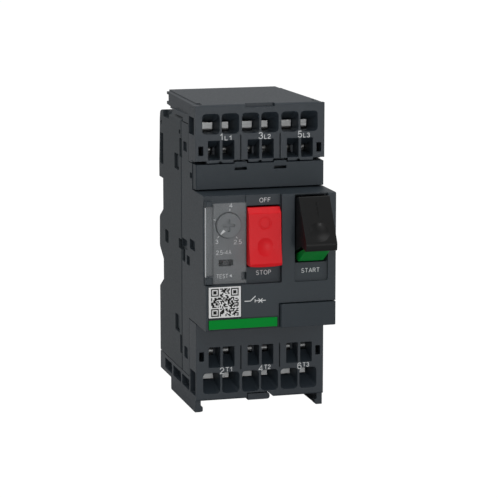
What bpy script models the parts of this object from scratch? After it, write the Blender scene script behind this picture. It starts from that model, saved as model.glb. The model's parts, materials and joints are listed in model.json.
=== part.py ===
"""Three-pole motor protection breaker with spring-clamp terminals.

Frame: origin at the middle of the rear mounting plane, +X to the right, -Y to the front, +Z up.
Dimensions are in millimetres. A depth is the distance in front of the rear plane, so depth 66
is at Y = -66 mm. A span is a (low, high) pair, and a box is (x span, depth span, z span).
Outlines and paths are lists of (depth, z) points.
"""

import math

import bmesh
import bpy
from mathutils import Matrix, Vector


def around(middle, half):
    return (middle - half, middle + half)


def inset(span, amount):
    """The span with both ends moved inwards; a negative amount widens it."""
    return (span[0] + amount, span[1] - amount)


def middle_of(span):
    return sum(span) / 2


# ---------------------------------------------------------------- driving dimensions

MM = 0.001
GAP = 0.3  # clearance between neighbouring pieces

# overall sizes
HALF_WIDTH = 22.5
FULL_X = around(0.0, HALF_WIDTH)
BODY_TOP = 50.5
BODY_BOTTOM = -50.5
FEET_BOTTOM = -54.7
HOUSING_TOP, HOUSING_BOTTOM = 44.2, -43.7
SPLIT_DEPTH = 33.0  # rear and front housings meet here
SHOULDER_DEPTH = 43.0  # front housing behind the terminal blocks
STEP_DEPTH, STEP_TOP = 48.2, 30.8  # front housing behind the marking strip
TERMINAL_DEPTH = 52.5  # front plane of the terminal blocks
FRONT_DEPTH = 66.0  # front plane of the middle section
MID_TOP, MID_BOTTOM = 21.6, -23.4

# poles, and the housing pocket of each
POLE_PITCH = 13.7
POLES = (-POLE_PITCH, 0.0, POLE_PITCH)
WALL = 1.6
PARTITION = 1.2
INNER_HALF = HALF_WIDTH - WALL
MID_POCKET_HALF = 6.25
SIDE_POCKET_START = MID_POCKET_HALF + PARTITION
POCKETS = [
    (-INNER_HALF, -SIDE_POCKET_START),
    (-MID_POCKET_HALF, MID_POCKET_HALF),
    (SIDE_POCKET_START, INNER_HALF),
]

# 35 mm rail recess
RAIL_TOP, RAIL_NOTCH_TOP_END = 19.45, 8.3
RAIL_LOW, RAIL_NOTCH_LOW_END = -16.8, -9.5
RAIL_DEPTH = 5.7
LIP_X = (-12.5, 12.5)

# side clips joining the housings
CLIP_Z = [(25.5, 31.0), (-31.5, -25.5)]
TONGUE_Z = [inset(z_span, 0.7) for z_span in CLIP_Z]

# buttons, lever and trip bar; each pivot is (depth, z)
PIN_R = 0.8
PIN_CLEARANCE = 0.06
START_X, START_PIVOT = (8.4, 19.1), (64.2, 18.6)
STOP_X, STOP_PIVOT = (-7.8, 3.3), (62.0, 15.5)
LEVER_X, LEVER_PIVOT = (8.6, 13.8), (44.0, 12.0)
TRIP_PIVOT = (36.0, -15.0)

# setting dial
DIAL_X, DIAL_Z, DIAL_R = -14.05, 11.65, 4.15
DIAL_DEPTH = 60.8  # middle of the dial
DIAL_POINTER_DEG = 226.0  # clockwise from the top, seen from the front, at rest

# clear cover
COVER_HINGE = (-20.7, 64.8)  # x, depth
COVER_GROOVE_Z = (-5.5, 18.5)
COVER_LEAF_Z = inset(COVER_GROOVE_Z, GAP)
COVER_HINGE_Z = middle_of(COVER_GROOVE_Z)

# recesses for the two labels
CODE_LABEL_X, CODE_LABEL_Z = (-21.8, -10.2), (-19.2, -8.25)
GREEN_LABEL_X, GREEN_LABEL_Z = (-21.8, 2.4), (-23.1, -19.4)
LABEL_DEPTHS = (65.9, 66.15)

# holes of the terminal blocks: z spans, then x spans relative to a pole
WIRE_Z, RELEASE_Z = (40.6, 47.5), (31.9, 38.6)
LOW_WIRE_Z, LOW_RELEASE_Z = (-48.2, -41.0), (-39.2, -31.9)
WIRE_X = ((-6.3, -0.35), (0.35, 6.4))
RELEASE_X = ((-4.4, -0.3), (0.6, 4.7))

# current path
CLAMP_X = {"a": (-5.7, -1.5), "b": (0.5, 4.0)}  # relative to a pole
CLAMP_STOCK = 0.5
BAR_STOCK, BAR_HALF = 0.8, 3.6
BIMETAL_HALF = 2.4
PAD_R, PAD_Z = 1.6, 8.5  # contact pads, one above and one below the middle
FIXED_PAD_DEPTH, FIXED_PAD_LENGTH = 15.35, 2.3
MOVING_PAD_DEPTH, MOVING_PAD_LENGTH = 20.75, 1.9
CHUTE_HALF, CHUTE_PLATE = 5.5, 0.8
CHUTE_PLATE_Z = (13.8, 16.0, 18.2, 20.4, 22.6)  # undersides of the plates

# rail latch: a wide flange in front of a narrower runner
LATCH_HALF, RUNNER_HALF = 9.0, 7.0
LATCH_DEPTHS = (2.5, 4.2)
LATCH_Z = (-49.8, -14.4)


# ---------------------------------------------------------------- scene and materials

for old in list(bpy.data.objects):
    bpy.data.objects.remove(old, do_unlink=True)


def collection(name):
    made = bpy.data.collections.new(name)
    bpy.context.scene.collection.children.link(made)
    return made


PARTS = collection("motor_protection_breaker")
CUTTERS = collection("cutters")


def linear(value):
    """An sRGB channel of 0 to 255 as a linear value of 0 to 1."""
    value /= 255.0
    return value / 12.92 if value <= 0.04045 else ((value + 0.055) / 1.055) ** 2.4


def material(name, srgb, *, roughness, metallic=0.0, alpha=1.0):
    made = bpy.data.materials.new(name)
    made.use_nodes = True
    shader = made.node_tree.nodes["Principled BSDF"]
    shader.inputs["Base Color"].default_value = (*[linear(value) for value in srgb], 1.0)
    shader.inputs["Roughness"].default_value = roughness
    shader.inputs["Metallic"].default_value = metallic
    shader.inputs["Alpha"].default_value = alpha
    return made


REAR_PLASTIC = material("rear_housing_plastic", (58, 64, 69), roughness=0.55)
FRONT_PLASTIC = material("front_housing_plastic", (55, 62, 68), roughness=0.45)
TERMINAL_PLASTIC = material("terminal_block_plastic", (62, 68, 73), roughness=0.5)
STRIP_PLASTIC = material("marking_strip_plastic", (57, 64, 70), roughness=0.45)
START_BLACK = material("start_button_plastic", (33, 34, 35), roughness=0.4)
START_GREEN = material("start_insert_plastic", (10, 110, 45), roughness=0.45)
STOP_RED = material("stop_button_plastic", (214, 34, 46), roughness=0.35)
CLEAR_PLASTIC = material("clear_cover_plastic", (205, 212, 215), roughness=0.15, alpha=0.35)
DIAL_PLASTIC = material("dial_plastic", (84, 90, 94), roughness=0.45)
LABEL_PAPER = material("label_paper", (236, 238, 238), roughness=0.6)
LABEL_GREEN = material("label_green", (0, 146, 62), roughness=0.5)
STEEL = material("spring_steel", (190, 190, 186), roughness=0.3, metallic=1.0)
COPPER = material("tinned_copper", (196, 170, 140), roughness=0.35, metallic=1.0)
COIL_WIRE = material("coil_wire", (184, 104, 60), roughness=0.35, metallic=1.0)
BIMETAL = material("bimetal", (168, 158, 142), roughness=0.35, metallic=1.0)
ZINC_STEEL = material("zinc_steel", (150, 152, 152), roughness=0.4, metallic=1.0)
MECHANISM_PLASTIC = material("mechanism_plastic", (214, 208, 192), roughness=0.55)
LATCH_PLASTIC = material("latch_plastic", (48, 52, 55), roughness=0.55)


# ---------------------------------------------------------------- pieces and cutters


def add_piece(name, mesh, finish):
    made = bpy.data.objects.new(name, mesh)
    PARTS.objects.link(made)
    mesh.materials.clear()
    mesh.materials.append(finish)
    return made


def add_cutter(name, mesh):
    """A hidden helper that a boolean modifier adds or takes away."""
    made = bpy.data.objects.new(name, mesh)
    CUTTERS.objects.link(made)
    made.hide_render = True
    made.display_type = "WIRE"
    return made


def finish_mesh(name, shape):
    mesh = bpy.data.meshes.new(name)
    shape.to_mesh(mesh)
    shape.free()
    return mesh


def boxes_mesh(name, boxes):
    shape = bmesh.new()
    for spans in boxes:
        size = Vector([abs(high - low) for low, high in spans]) * MM
        x, depth, z = [middle_of(span) for span in spans]
        place = Matrix.Translation(Vector((x, -depth, z)) * MM)
        bmesh.ops.create_cube(shape, size=1.0, matrix=place @ Matrix.Diagonal((*size, 1.0)))
    return finish_mesh(name, shape)


def box(name, x_span, depth_span, z_span, finish):
    return add_piece(name, boxes_mesh(name, [(x_span, depth_span, z_span)]), finish)


# turns local z onto the named axis
AXIS_TURN = {
    "X": Matrix.Rotation(math.radians(90), 4, "Y"),
    "Y": Matrix.Rotation(math.radians(90), 4, "X"),
    "Z": Matrix.Identity(4),
}


def rods_mesh(name, rods, segments):
    """Round bars: each is (axis, x, depth, z, radius, length), centred on its point."""
    shape = bmesh.new()
    for axis, x, depth, z, radius, length in rods:
        place = Matrix.Translation(Vector((x, -depth, z)) * MM) @ AXIS_TURN[axis]
        bmesh.ops.create_cone(
            shape, cap_ends=True, segments=segments, radius1=radius * MM, radius2=radius * MM,
            depth=length * MM, matrix=place,
        )
    return finish_mesh(name, shape)


def rod_piece(name, rod, finish, segments):
    return add_piece(name, rods_mesh(name, [rod], segments), finish)


def curve_holder(name, curve, points):
    """Gives the curve one straight-sided spline and an object in the scene."""
    spline = curve.splines.new("POLY")
    spline.points.add(len(points) - 1)
    for point, (x, y, z) in zip(spline.points, points):
        point.co = (x * MM, y * MM, z * MM, 1.0)
    holder = bpy.data.objects.new(name + "_curve", curve)
    bpy.context.scene.collection.objects.link(holder)
    return holder


def piece_from_curve(holder, name, finish):
    """The evaluated curve as a closed mesh, with its caps welded on."""
    bpy.context.view_layer.update()
    evaluated = holder.evaluated_get(bpy.context.evaluated_depsgraph_get())
    mesh = bpy.data.meshes.new_from_object(evaluated)
    mesh.name = name
    mesh.transform(holder.matrix_world)
    shape = bmesh.new()
    shape.from_mesh(mesh)
    bmesh.ops.remove_doubles(shape, verts=shape.verts, dist=1e-7)
    bmesh.ops.recalc_face_normals(shape, faces=shape.faces)
    shape.to_mesh(mesh)
    shape.free()
    bpy.data.objects.remove(holder, do_unlink=True)
    return add_piece(name, mesh, finish)


def prism(name, outline, x_span, finish):
    """A flat outline of (depth, z) points, extruded along X over the span."""
    curve = bpy.data.curves.new(name, "CURVE")
    curve.dimensions = "2D"
    curve.fill_mode = "BOTH"
    curve.extrude = abs(x_span[1] - x_span[0]) / 2 * MM
    holder = curve_holder(name, curve, [(depth, z, 0.0) for depth, z in outline])
    curve.splines[0].use_cyclic_u = True
    # local x runs to the front (-Y), local y up (+Z), local z to -X
    holder.matrix_world = Matrix(
        ((0, 0, -1, middle_of(x_span) * MM), (-1, 0, 0, 0), (0, 1, 0, 0), (0, 0, 0, 1))
    )
    return piece_from_curve(holder, name, finish)


def strip(name, path, thickness, x_span, finish):
    """A bent flat strip: its centre line as (depth, z) points, extruded along X."""
    sides = ([], [])
    last = len(path) - 1
    for i, point in enumerate(path):
        here = Vector(point)
        before = Vector(path[max(i - 1, 0)])
        after = Vector(path[min(i + 1, last)])
        first = (here - before).normalized() if i else (after - here).normalized()
        second = (after - here).normalized() if i < last else first
        normal = Vector((-(first + second).y, (first + second).x)).normalized()
        # keeps the thickness round a bend, within a limit at sharp ones
        reach = thickness / 2 / max(0.5, normal.dot(Vector((-first.y, first.x))))
        sides[0].append(tuple(here + normal * reach))
        sides[1].append(tuple(here - normal * reach))
    return prism(name, sides[0] + sides[1][::-1], x_span, finish)


def helix(name, axis, centre, finish, *, radius, wire_radius, turns, length, per_turn):
    """A coil of round wire about its axis; the centre is (x, depth, z)."""
    curve = bpy.data.curves.new(name, "CURVE")
    curve.dimensions = "3D"
    curve.bevel_depth = wire_radius * MM
    curve.bevel_resolution = 1
    curve.use_fill_caps = True
    steps = turns * per_turn
    points = []
    for i in range(steps + 1):
        angle = 2 * math.pi * i / per_turn
        along = (i / steps - 0.5) * length
        points.append((radius * math.cos(angle), radius * math.sin(angle), along))
    holder = curve_holder(name, curve, points)
    x, depth, z = centre
    holder.matrix_world = Matrix.Translation(Vector((x, -depth, z)) * MM) @ AXIS_TURN[axis]
    return piece_from_curve(holder, name, finish)


# ---------------------------------------------------------------- shaping of pieces


def boolean(target, other, operation):
    modifier = target.modifiers.new(f"{operation.lower()}_{other.name}"[:60], "BOOLEAN")
    modifier.operation = operation
    modifier.solver = "EXACT"
    modifier.object = other


def cut_boxes(target, **groups):
    """Cuts labelled groups of boxes in turn; the boxes of one group don't touch each other."""
    for label, boxes in groups.items():
        cutter = add_cutter(f"{target.name}_{label}", boxes_mesh(label, boxes))
        boolean(target, cutter, "DIFFERENCE")


def cut_rods(target, label, rods, segments):
    cutter = add_cutter(f"{target.name}_{label}", rods_mesh(label, rods, segments))
    boolean(target, cutter, "DIFFERENCE")


def join_meshes(target, label, meshes):
    for i, mesh in enumerate(meshes):
        boolean(target, add_cutter(f"{target.name}_{label}_{i}", mesh), "UNION")


def join_boxes(target, label, boxes):
    join_meshes(target, label, [boxes_mesh(label, [spans]) for spans in boxes])


def join_rods(target, label, rods):
    join_meshes(target, label, [rods_mesh(label, [rod], 16) for rod in rods])


def round_front_corners(piece, half_width, depth, *, width, segments):
    """Rounds the two upright outer edges at the given depth, on the base mesh."""

    def at_corner(vert):
        place = vert.co / MM
        return abs(abs(place.x) - half_width) < 0.3 and abs(place.y + depth) < 0.05

    def upright(edge):
        run = (edge.verts[0].co - edge.verts[1].co) / MM
        return abs(run.x) < 0.01 and abs(run.z) > 1.0

    shape = bmesh.new()
    shape.from_mesh(piece.data)
    edges = [edge for edge in shape.edges if upright(edge) and all(map(at_corner, edge.verts))]
    bmesh.ops.bevel(
        shape, geom=edges, offset=width * MM, offset_type="OFFSET", segments=segments,
        profile=0.5, affect="EDGES", clamp_overlap=True,
    )
    bmesh.ops.recalc_face_normals(shape, faces=shape.faces)
    shape.to_mesh(piece.data)
    shape.free()


def set_origin(piece, x, depth, z):
    """Moves a piece's origin onto its joint axis, leaving its shape where it is."""
    origin = Vector((x, -depth, z)) * MM
    piece.data.transform(Matrix.Translation(-origin))
    piece.location = origin


def hang_on_pin(piece, x, pivot, hole_length):
    """Drills the pin hole along X and puts the origin on its axis."""
    hole = ("X", x, *pivot, PIN_R + PIN_CLEARANCE, hole_length)
    cut_rods(piece, "pin_hole", [hole], 24)
    set_origin(piece, x, *pivot)


def pin(name, x, pivot, length):
    rod_piece(name, ("X", x, *pivot, PIN_R, length), STEEL, 24)


# ---------------------------------------------------------------- repeated boxes


def side_boxes(x_span, depth_span, *z_spans):
    """The boxes on the left, then the same on the right; x_span is for the right side."""
    return [
        ((side * x_span[0], side * x_span[1]), depth_span, z_span)
        for side in (-1, 1) for z_span in z_spans
    ]


def pocket_boxes(depth_span, z_span):
    return [(x_span, depth_span, z_span) for x_span in POCKETS]


def pole_boxes(half_width, depth_span, z_span):
    return [(around(pole, half_width), depth_span, z_span) for pole in POLES]


def terminal_holes(z_span, x_spans):
    return [
        ((pole + low, pole + high), (49.0, 54.0), z_span)
        for pole in POLES for low, high in x_spans
    ]


# ---------------------------------------------------------------- rear housing

rear_housing = prism(
    "rear_housing",
    [
        (0.0, HOUSING_BOTTOM), (SPLIT_DEPTH - GAP, HOUSING_BOTTOM),
        (SPLIT_DEPTH - GAP, HOUSING_TOP), (12.0, HOUSING_TOP),
        (2.5, 42.8), (1.5, 40.0), (0.5, 30.0), (0.0, 25.0),
        # rail recess
        (0.0, RAIL_TOP), (RAIL_DEPTH, RAIL_TOP), (RAIL_DEPTH, RAIL_NOTCH_TOP_END),
        (0.5, 5.2), (0.0, 4.0), (0.0, -5.5), (1.0, -6.5),
        (6.0, RAIL_NOTCH_LOW_END), (6.0, RAIL_LOW), (0.5, -19.8), (0.0, -20.6),
    ],
    FULL_X,
    REAR_PLASTIC,
)
cut_boxes(
    rear_housing,
    pole_pockets=pocket_boxes((8.0, 34.0), (-41.6, 41.6)),
    top_openings=pocket_boxes((24.0, 34.0), (40.0, 45.0)),
    bottom_openings=pocket_boxes((28.0, 34.0), (-45.0, -40.0)),
    carrier_slots=[((-9.0, 9.0), (27.0, 34.0), (-4.2, 4.2))],
    clip_windows=side_boxes((19.0, 24.0), (23.0, 29.5), *CLIP_Z),
    rear_slots=side_boxes((20.6, 24.0), (0.9, 6.5), (24.3, 35.5)),
    side_slots=side_boxes((20.5, 24.0), (8.5, 13.5), (-2.8, 1.8)),
    top_wedges=side_boxes((21.0, 24.0), (6.0, 15.0), (42.0, 46.0)),
)
# lips that hook over the rail's upper flange
join_boxes(
    rear_housing, "rail_lips", [(around(x, 3.5), (0.3, 3.6), (18.2, 20.5)) for x in LIP_X]
)
# channel of the rail latch, T-shaped so that the latch can't fall out
channel_x = around(0.0, LATCH_HALF + GAP)
cut_boxes(
    rear_housing,
    latch_channel=[(channel_x, inset(LATCH_DEPTHS, -GAP), (-46.0, -14.0))],
    latch_mouth=[(around(0.0, RUNNER_HALF + GAP), (-2.0, 2.4), (-46.0, -14.0))],
    latch_nose_room=[(channel_x, (4.0, 7.0), (-16.9, -8.0))],
)
join_boxes(rear_housing, "latch_peg", [((-1.8, 1.8), (1.0, 5.2), (-40.0, -38.0))])


# ---------------------------------------------------------------- front housing

front_housing = prism(
    "front_housing",
    [
        (SPLIT_DEPTH, HOUSING_BOTTOM), (SHOULDER_DEPTH, HOUSING_BOTTOM),
        (SHOULDER_DEPTH, MID_BOTTOM), (FRONT_DEPTH, MID_BOTTOM),
        (FRONT_DEPTH, MID_TOP), (STEP_DEPTH, MID_TOP),
        (STEP_DEPTH, STEP_TOP), (SHOULDER_DEPTH, STEP_TOP),
        (SHOULDER_DEPTH, HOUSING_TOP), (SPLIT_DEPTH, HOUSING_TOP),
    ],
    FULL_X,
    FRONT_PLASTIC,
)
round_front_corners(front_housing, HALF_WIDTH, FRONT_DEPTH, width=2.0, segments=4)
cut_boxes(
    front_housing,
    # room inside, open to the rear
    mechanism_pocket=[(around(0.0, INNER_HALF), (32.0, 60.0), (-21.8, 20.0))],
    upper_pockets=pocket_boxes((32.0, 44.0), (32.4, 45.0)),
    lower_pockets=pocket_boxes((32.0, 44.0), (-45.0, -25.2)),
    middle_pockets=pocket_boxes((32.0, 46.6), (21.6, 29.4)),
    # recesses and openings of the front face
    dial_recess=[((-24.0, -8.1), (63.4, 67.0), (-8.1, 22.5))],
    stop_recess=[((-8.3, 3.7), (64.0, 67.0), (-8.1, 22.5))],
    start_recess=[((8.2, 19.7), (64.0, 67.0), (-8.1, 21.3))],
    stop_opening=[((-8.0, 3.5), (59.0, 65.0), (-2.7, 19.0))],
    start_opening=[((8.2, 19.5), (59.0, 65.0), (-1.7, 20.7))],
    blank_recess=[((2.7, 24.0), (62.0, 67.0), (-25.0, -15.0))],
    blank_opening=[((5.0, 20.0), (59.0, 63.0), (-21.0, -17.0))],
    label_recess=[(CODE_LABEL_X, (65.6, 67.0), CODE_LABEL_Z)],
    band_recess=[(GREEN_LABEL_X, (65.6, 67.0), GREEN_LABEL_Z)],
    test_slot=[((-17.4, -12.4), (59.0, 64.0), (-2.1, 0.1))],
    cover_groove=[((-24.0, -19.1), (62.4, 64.0), COVER_GROOVE_Z)],
)
cut_rods(front_housing, "dial_hole", [("Y", DIAL_X, 62.0, DIAL_Z, 4.4, 6.0)], 32)
cut_rods(
    front_housing, "button_pin_holes",
    [
        ("X", 14.0, *START_PIVOT, PIN_R + GAP, 14.4),
        ("X", middle_of(STOP_X), *STOP_PIVOT, PIN_R + GAP, 14.4),
    ],
    16,
)
# knuckles of the clear cover, above and below its groove
join_boxes(
    front_housing, "cover_knuckles",
    [
        ((-22.3, -20.0), (62.8, 65.6), (COVER_GROOVE_Z[1], 20.0)),
        ((-22.3, -20.0), (62.8, 65.6), (-7.7, COVER_GROOVE_Z[0])),
    ],
)
cut_rods(
    front_housing, "cover_pin_holes", [("Z", *COVER_HINGE, COVER_HINGE_Z, 0.75, 26.4)], 12
)
cut_boxes(
    front_housing,
    side_windows=side_boxes((20.0, 24.0), (44.5, 51.8), (1.0, 4.5))
    + side_boxes((20.0, 24.0), (34.2, 41.0), (-0.3, 3.0))
    + side_boxes((20.0, 24.0), (40.0, 44.3), (-5.2, -2.0)),
    side_marks=side_boxes((21.7, 24.0), (36.0, 41.0), (33.3, 36.6), (-38.5, -34.5)),
)
# tongues that snap into the rear housing: their arms, hooks and roots
join_boxes(
    front_housing, "tongues",
    side_boxes((19.0, 20.5), (24.0, 34.5), *TONGUE_Z)
    + side_boxes((20.0, 21.7), (24.0, 26.5), *TONGUE_Z)
    + side_boxes((19.0, 22.0), (SPLIT_DEPTH, 36.0), *TONGUE_Z),
)
# cheeks that carry the lever pin
join_boxes(
    front_housing, "cheeks",
    [((5.6, 7.0), (40.5, 61.0), (6.0, 20.8)), ((15.4, 16.8), (40.5, 50.0), (9.0, 20.8))],
)
cut_rods(
    front_housing, "lever_pin_holes",
    [("X", middle_of(LEVER_X), *LEVER_PIVOT, PIN_R + GAP, 10.4)], 16,
)


# ---------------------------------------------------------------- terminal blocks


def terminal_block(name, z_span):
    block = box(name, FULL_X, (SHOULDER_DEPTH + GAP, TERMINAL_DEPTH), z_span, TERMINAL_PLASTIC)
    round_front_corners(block, HALF_WIDTH, TERMINAL_DEPTH, width=1.2, segments=3)
    return block


upper_terminal_block = terminal_block("upper_terminal_block", (STEP_TOP + GAP, BODY_TOP))
# the cap reaches back over the top of the housings
join_boxes(
    upper_terminal_block, "cap",
    [
        (FULL_X, (14.5, 50.2), (46.4, 50.0)),
        ((-19.55, 19.55), (3.0, 50.4), (46.6, BODY_TOP)),
        ((-22.2, 22.2), (16.5, 44.0), (44.5, 46.8)),
        ((-19.3, 19.3), (4.2, 17.5), (44.6, 46.9)),
    ],
)
cut_boxes(
    upper_terminal_block,
    cap_hollow=[((-20.8, 20.8), (17.8, 43.0), (43.0, 48.9))],
    cavities=pocket_boxes((42.5, 50.9), (32.7, 48.9)),
    wire_entries=terminal_holes(WIRE_Z, WIRE_X),
    release_slots=terminal_holes(RELEASE_Z, RELEASE_X),
    side_recesses=side_boxes((21.4, 24.0), (44.0, 51.0), (40.0, 46.3)),
    corner_slots=side_boxes((19.7, 21.4), (48.0, 54.0), (33.4, 36.6)),
    top_notch=[((-5.1, 5.1), (50.6, 54.0), (49.3, 52.0))],
)

lower_terminal_block = terminal_block("lower_terminal_block", (BODY_BOTTOM, MID_BOTTOM - GAP))
# the cap reaches back under the housings and carries a foot along each side
join_boxes(
    lower_terminal_block, "cap",
    [(FULL_X, (0.0, 44.0), (BODY_BOTTOM, -44.0))]
    + side_boxes((20.6, HALF_WIDTH), (16.0, 51.3), (FEET_BOTTOM, -49.5))
    + side_boxes((19.9, 21.2), (48.6, 51.3), (-54.4, -52.8))
    + [((-4.3, 3.5), (47.0, 51.6), (-51.1, -49.0))],
)
cut_boxes(
    lower_terminal_block,
    cap_hollow=[((-20.8, 20.8), (5.6, 43.0), (-48.9, -42.0))],
    cavities=pocket_boxes((42.5, 50.9), (-48.9, -25.3)),
    wire_entries=terminal_holes(LOW_WIRE_Z, WIRE_X),
    release_slots=terminal_holes(LOW_RELEASE_Z, RELEASE_X),
    side_recesses=side_boxes((21.4, 24.0), (44.3, 51.3), (-49.0, -40.7))
    + side_boxes((20.0, 24.0), (7.2, 17.5), (-49.0, -45.2))
    + side_boxes((20.0, 24.0), (19.5, 31.0), (-49.0, -45.2))
    + side_boxes((20.0, 24.0), (32.5, 42.8), (-49.0, -45.2)),
    corner_slots=side_boxes((19.8, 21.5), (48.0, 54.0), (-37.2, -34.0)),
    latch_slot=[((-9.6, 9.6), (-2.0, 4.7), (-52.0, -43.0))],
)


# ---------------------------------------------------------------- marking strip

STRIP_HALF, STRIP_FRONT = 22.3, 52.6
marking_strip = box(
    "marking_strip", around(0.0, STRIP_HALF), (STEP_DEPTH + GAP, STRIP_FRONT),
    (22.1, STEP_TOP - GAP), STRIP_PLASTIC,
)
round_front_corners(marking_strip, STRIP_HALF, STRIP_FRONT, width=1.4, segments=3)
cut_boxes(
    marking_strip,
    hollow=[((-20.8, 20.8), (48.0, 51.2), (23.5, 29.1))],
    release_slits=[
        ((-8.9, -4.7), (51.6, 54.0), (29.0, 29.8)),
        ((4.8, 9.1), (51.6, 54.0), (29.0, 29.8)),
    ],
)


# ---------------------------------------------------------------- blanking cover and labels

blank_cover = box("blank_cover", (3.0, 22.4), (62.3, 66.9), (-23.3, -15.3), FRONT_PLASTIC)
rounding = blank_cover.modifiers.new("edge_rounding", "BEVEL")
rounding.width = 0.4 * MM
rounding.segments = 2
rounding.limit_method = "ANGLE"
rounding.angle_limit = math.radians(40.0)

for name, x_span, z_span, finish in (
    ("code_label", CODE_LABEL_X, CODE_LABEL_Z, LABEL_PAPER),
    ("green_label", GREEN_LABEL_X, GREEN_LABEL_Z, LABEL_GREEN),
):
    box(name, inset(x_span, GAP), LABEL_DEPTHS, inset(z_span, GAP), finish)


# ---------------------------------------------------------------- current path

# centre lines as (depth, z)
CLAMP_PATH = [
    (46.9, 43.9), (46.3, 41.2), (43.4, 40.3), (41.0, 38.6), (40.4, 36.2),
    (41.2, 34.0), (43.4, 33.3), (45.8, 34.0), (46.8, 36.0), (46.4, 38.2),
]
LOW_CLAMP_PATH = [(depth, -z) for depth, z in CLAMP_PATH]
LINE_BAR_PATH = [
    (50.4, 48.2), (28.0, 48.2), (26.0, 46.5), (26.0, 28.0),
    (11.0, 25.5), (11.0, 14.0), (14.0, 11.5), (14.0, 5.4),
]
LOAD_CONTACT_PATH = [(14.0, -5.4), (14.0, -11.5), (11.0, -14.0), (11.0, -30.0)]
BIMETAL_PATH = [(30.0, -20.5), (29.7, -30.0), (30.0, -41.0)]
LOAD_BAR_PATH = [(50.4, -48.2), (33.0, -48.2), (31.3, -46.5), (31.3, -36.0)]


def spring_clamps(number, pole):
    for letter, (low, high) in CLAMP_X.items():
        for level, path in (("upper", CLAMP_PATH), ("lower", LOW_CLAMP_PATH)):
            name = f"{level}_clamp_{number}{letter}"
            strip(name, path, CLAMP_STOCK, (pole + low, pole + high), STEEL)


def fixed_contact(name, path, pole, pad_z):
    """A copper bar with a contact pad on its front face."""
    bar = strip(name, path, BAR_STOCK, around(pole, BAR_HALF), COPPER)
    join_rods(bar, "pad", [("Y", pole, FIXED_PAD_DEPTH, pad_z, PAD_R, FIXED_PAD_LENGTH)])


def arc_chute(number, pole):
    """A front plate with level plates running back from it."""
    x_span = around(pole, CHUTE_HALF)
    chute = box(f"arc_chute_{number}", x_span, (27.2, 28.0), (13.4, 23.6), ZINC_STEEL)
    join_boxes(
        chute, "plates", [(x_span, (15.5, 27.6), (z, z + CHUTE_PLATE)) for z in CHUTE_PLATE_Z]
    )


for number, pole in enumerate(POLES, start=1):
    spring_clamps(number, pole)
    fixed_contact(f"line_contact_bar_{number}", LINE_BAR_PATH, pole, PAD_Z)
    fixed_contact(f"load_contact_{number}", LOAD_CONTACT_PATH, pole, -PAD_Z)
    helix(
        f"magnet_coil_{number}", "Z", (pole, 19.4, -22.5), COIL_WIRE,
        radius=4.0, wire_radius=0.8, turns=5, length=14.0, per_turn=12,
    )
    strip(f"bimetal_{number}", BIMETAL_PATH, BAR_STOCK, around(pole, BIMETAL_HALF), BIMETAL)
    strip(
        f"load_terminal_bar_{number}", LOAD_BAR_PATH, BAR_STOCK, around(pole, BAR_HALF), COPPER
    )
    arc_chute(number, pole)


# ---------------------------------------------------------------- START button

start_button = prism(
    "start_button",
    [
        (66.0, 20.3), (70.0, 15.9), (78.3, 6.3), (78.5, 5.2), (78.0, 4.3),
        (72.6, 5.0), (62.5, 1.0), (60.5, 1.2), (55.5, 3.0), (55.0, 5.4),
        (57.0, 8.0), (58.6, 15.6), (61.6, 18.8), (63.2, 20.3),
    ],
    START_X,
    START_BLACK,
)
hang_on_pin(start_button, middle_of(START_X), START_PIVOT, 14.0)

# green insert under the button's nose, turning about the same axis
start_insert = prism(
    "start_insert",
    [(73.4, 4.4), (73.5, 3.4), (66.0, -1.2), (62.8, -1.0), (62.8, 0.7), (66.0, 2.0)],
    (9.4, 18.1),
    START_GREEN,
)
set_origin(start_insert, middle_of(START_X), *START_PIVOT)
pin("start_pivot_pin", 13.9, START_PIVOT, 13.6)


# ---------------------------------------------------------------- STOP button

stop_button = prism(
    "stop_button",
    [
        (65.4, 18.2), (66.5, 16.2), (66.6, 10.0), (67.1, 4.0), (67.9, -1.6), (67.3, -2.4),
        (59.4, -2.2), (58.2, 0.0), (58.2, 15.0), (60.2, 17.6), (62.0, 18.2),
    ],
    STOP_X,
    STOP_RED,
)
hang_on_pin(stop_button, middle_of(STOP_X), STOP_PIVOT, 14.0)
pin("stop_pivot_pin", middle_of(STOP_X), STOP_PIVOT, 13.6)


# ---------------------------------------------------------------- setting dial

SLOT_HALF_WIDTH, SLOT_HALF_LENGTH = 0.5, 2.6
SLOT_DEPTHS = (63.4, 66.0)
setting_dial = rod_piece(
    "setting_dial", ("Y", DIAL_X, DIAL_DEPTH, DIAL_Z, DIAL_R, 7.2), DIAL_PLASTIC, 32
)
cut_boxes(
    setting_dial,
    slot=[(around(DIAL_X, SLOT_HALF_WIDTH), SLOT_DEPTHS, around(DIAL_Z, SLOT_HALF_LENGTH))],
    cross_slot=[
        (around(DIAL_X, SLOT_HALF_LENGTH), SLOT_DEPTHS, around(DIAL_Z, SLOT_HALF_WIDTH))
    ],
)
# pointer mark: modelled upright about the origin, then turned and moved onto the dial
pointer_mark = add_cutter(
    "setting_dial_pointer", boxes_mesh("pointer", [((-0.3, 0.3), (63.9, 66.0), (2.0, 3.7))])
)
pointer_mark.matrix_world = (
    Matrix.Translation(Vector((DIAL_X, 0.0, DIAL_Z)) * MM)
    @ Matrix.Rotation(math.radians(DIAL_POINTER_DEG), 4, "Y")
)
boolean(setting_dial, pointer_mark, "DIFFERENCE")
set_origin(setting_dial, DIAL_X, DIAL_DEPTH, DIAL_Z)


# ---------------------------------------------------------------- clear cover, TEST slider

COVER_DEPTHS = (64.8, 65.8)
clear_cover = box("clear_cover", (-19.4, -8.5), COVER_DEPTHS, (-7.5, 19.5), CLEAR_PLASTIC)
join_boxes(clear_cover, "hinge_leaf", [((-22.3, -19.0), COVER_DEPTHS, COVER_LEAF_Z)])
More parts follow.
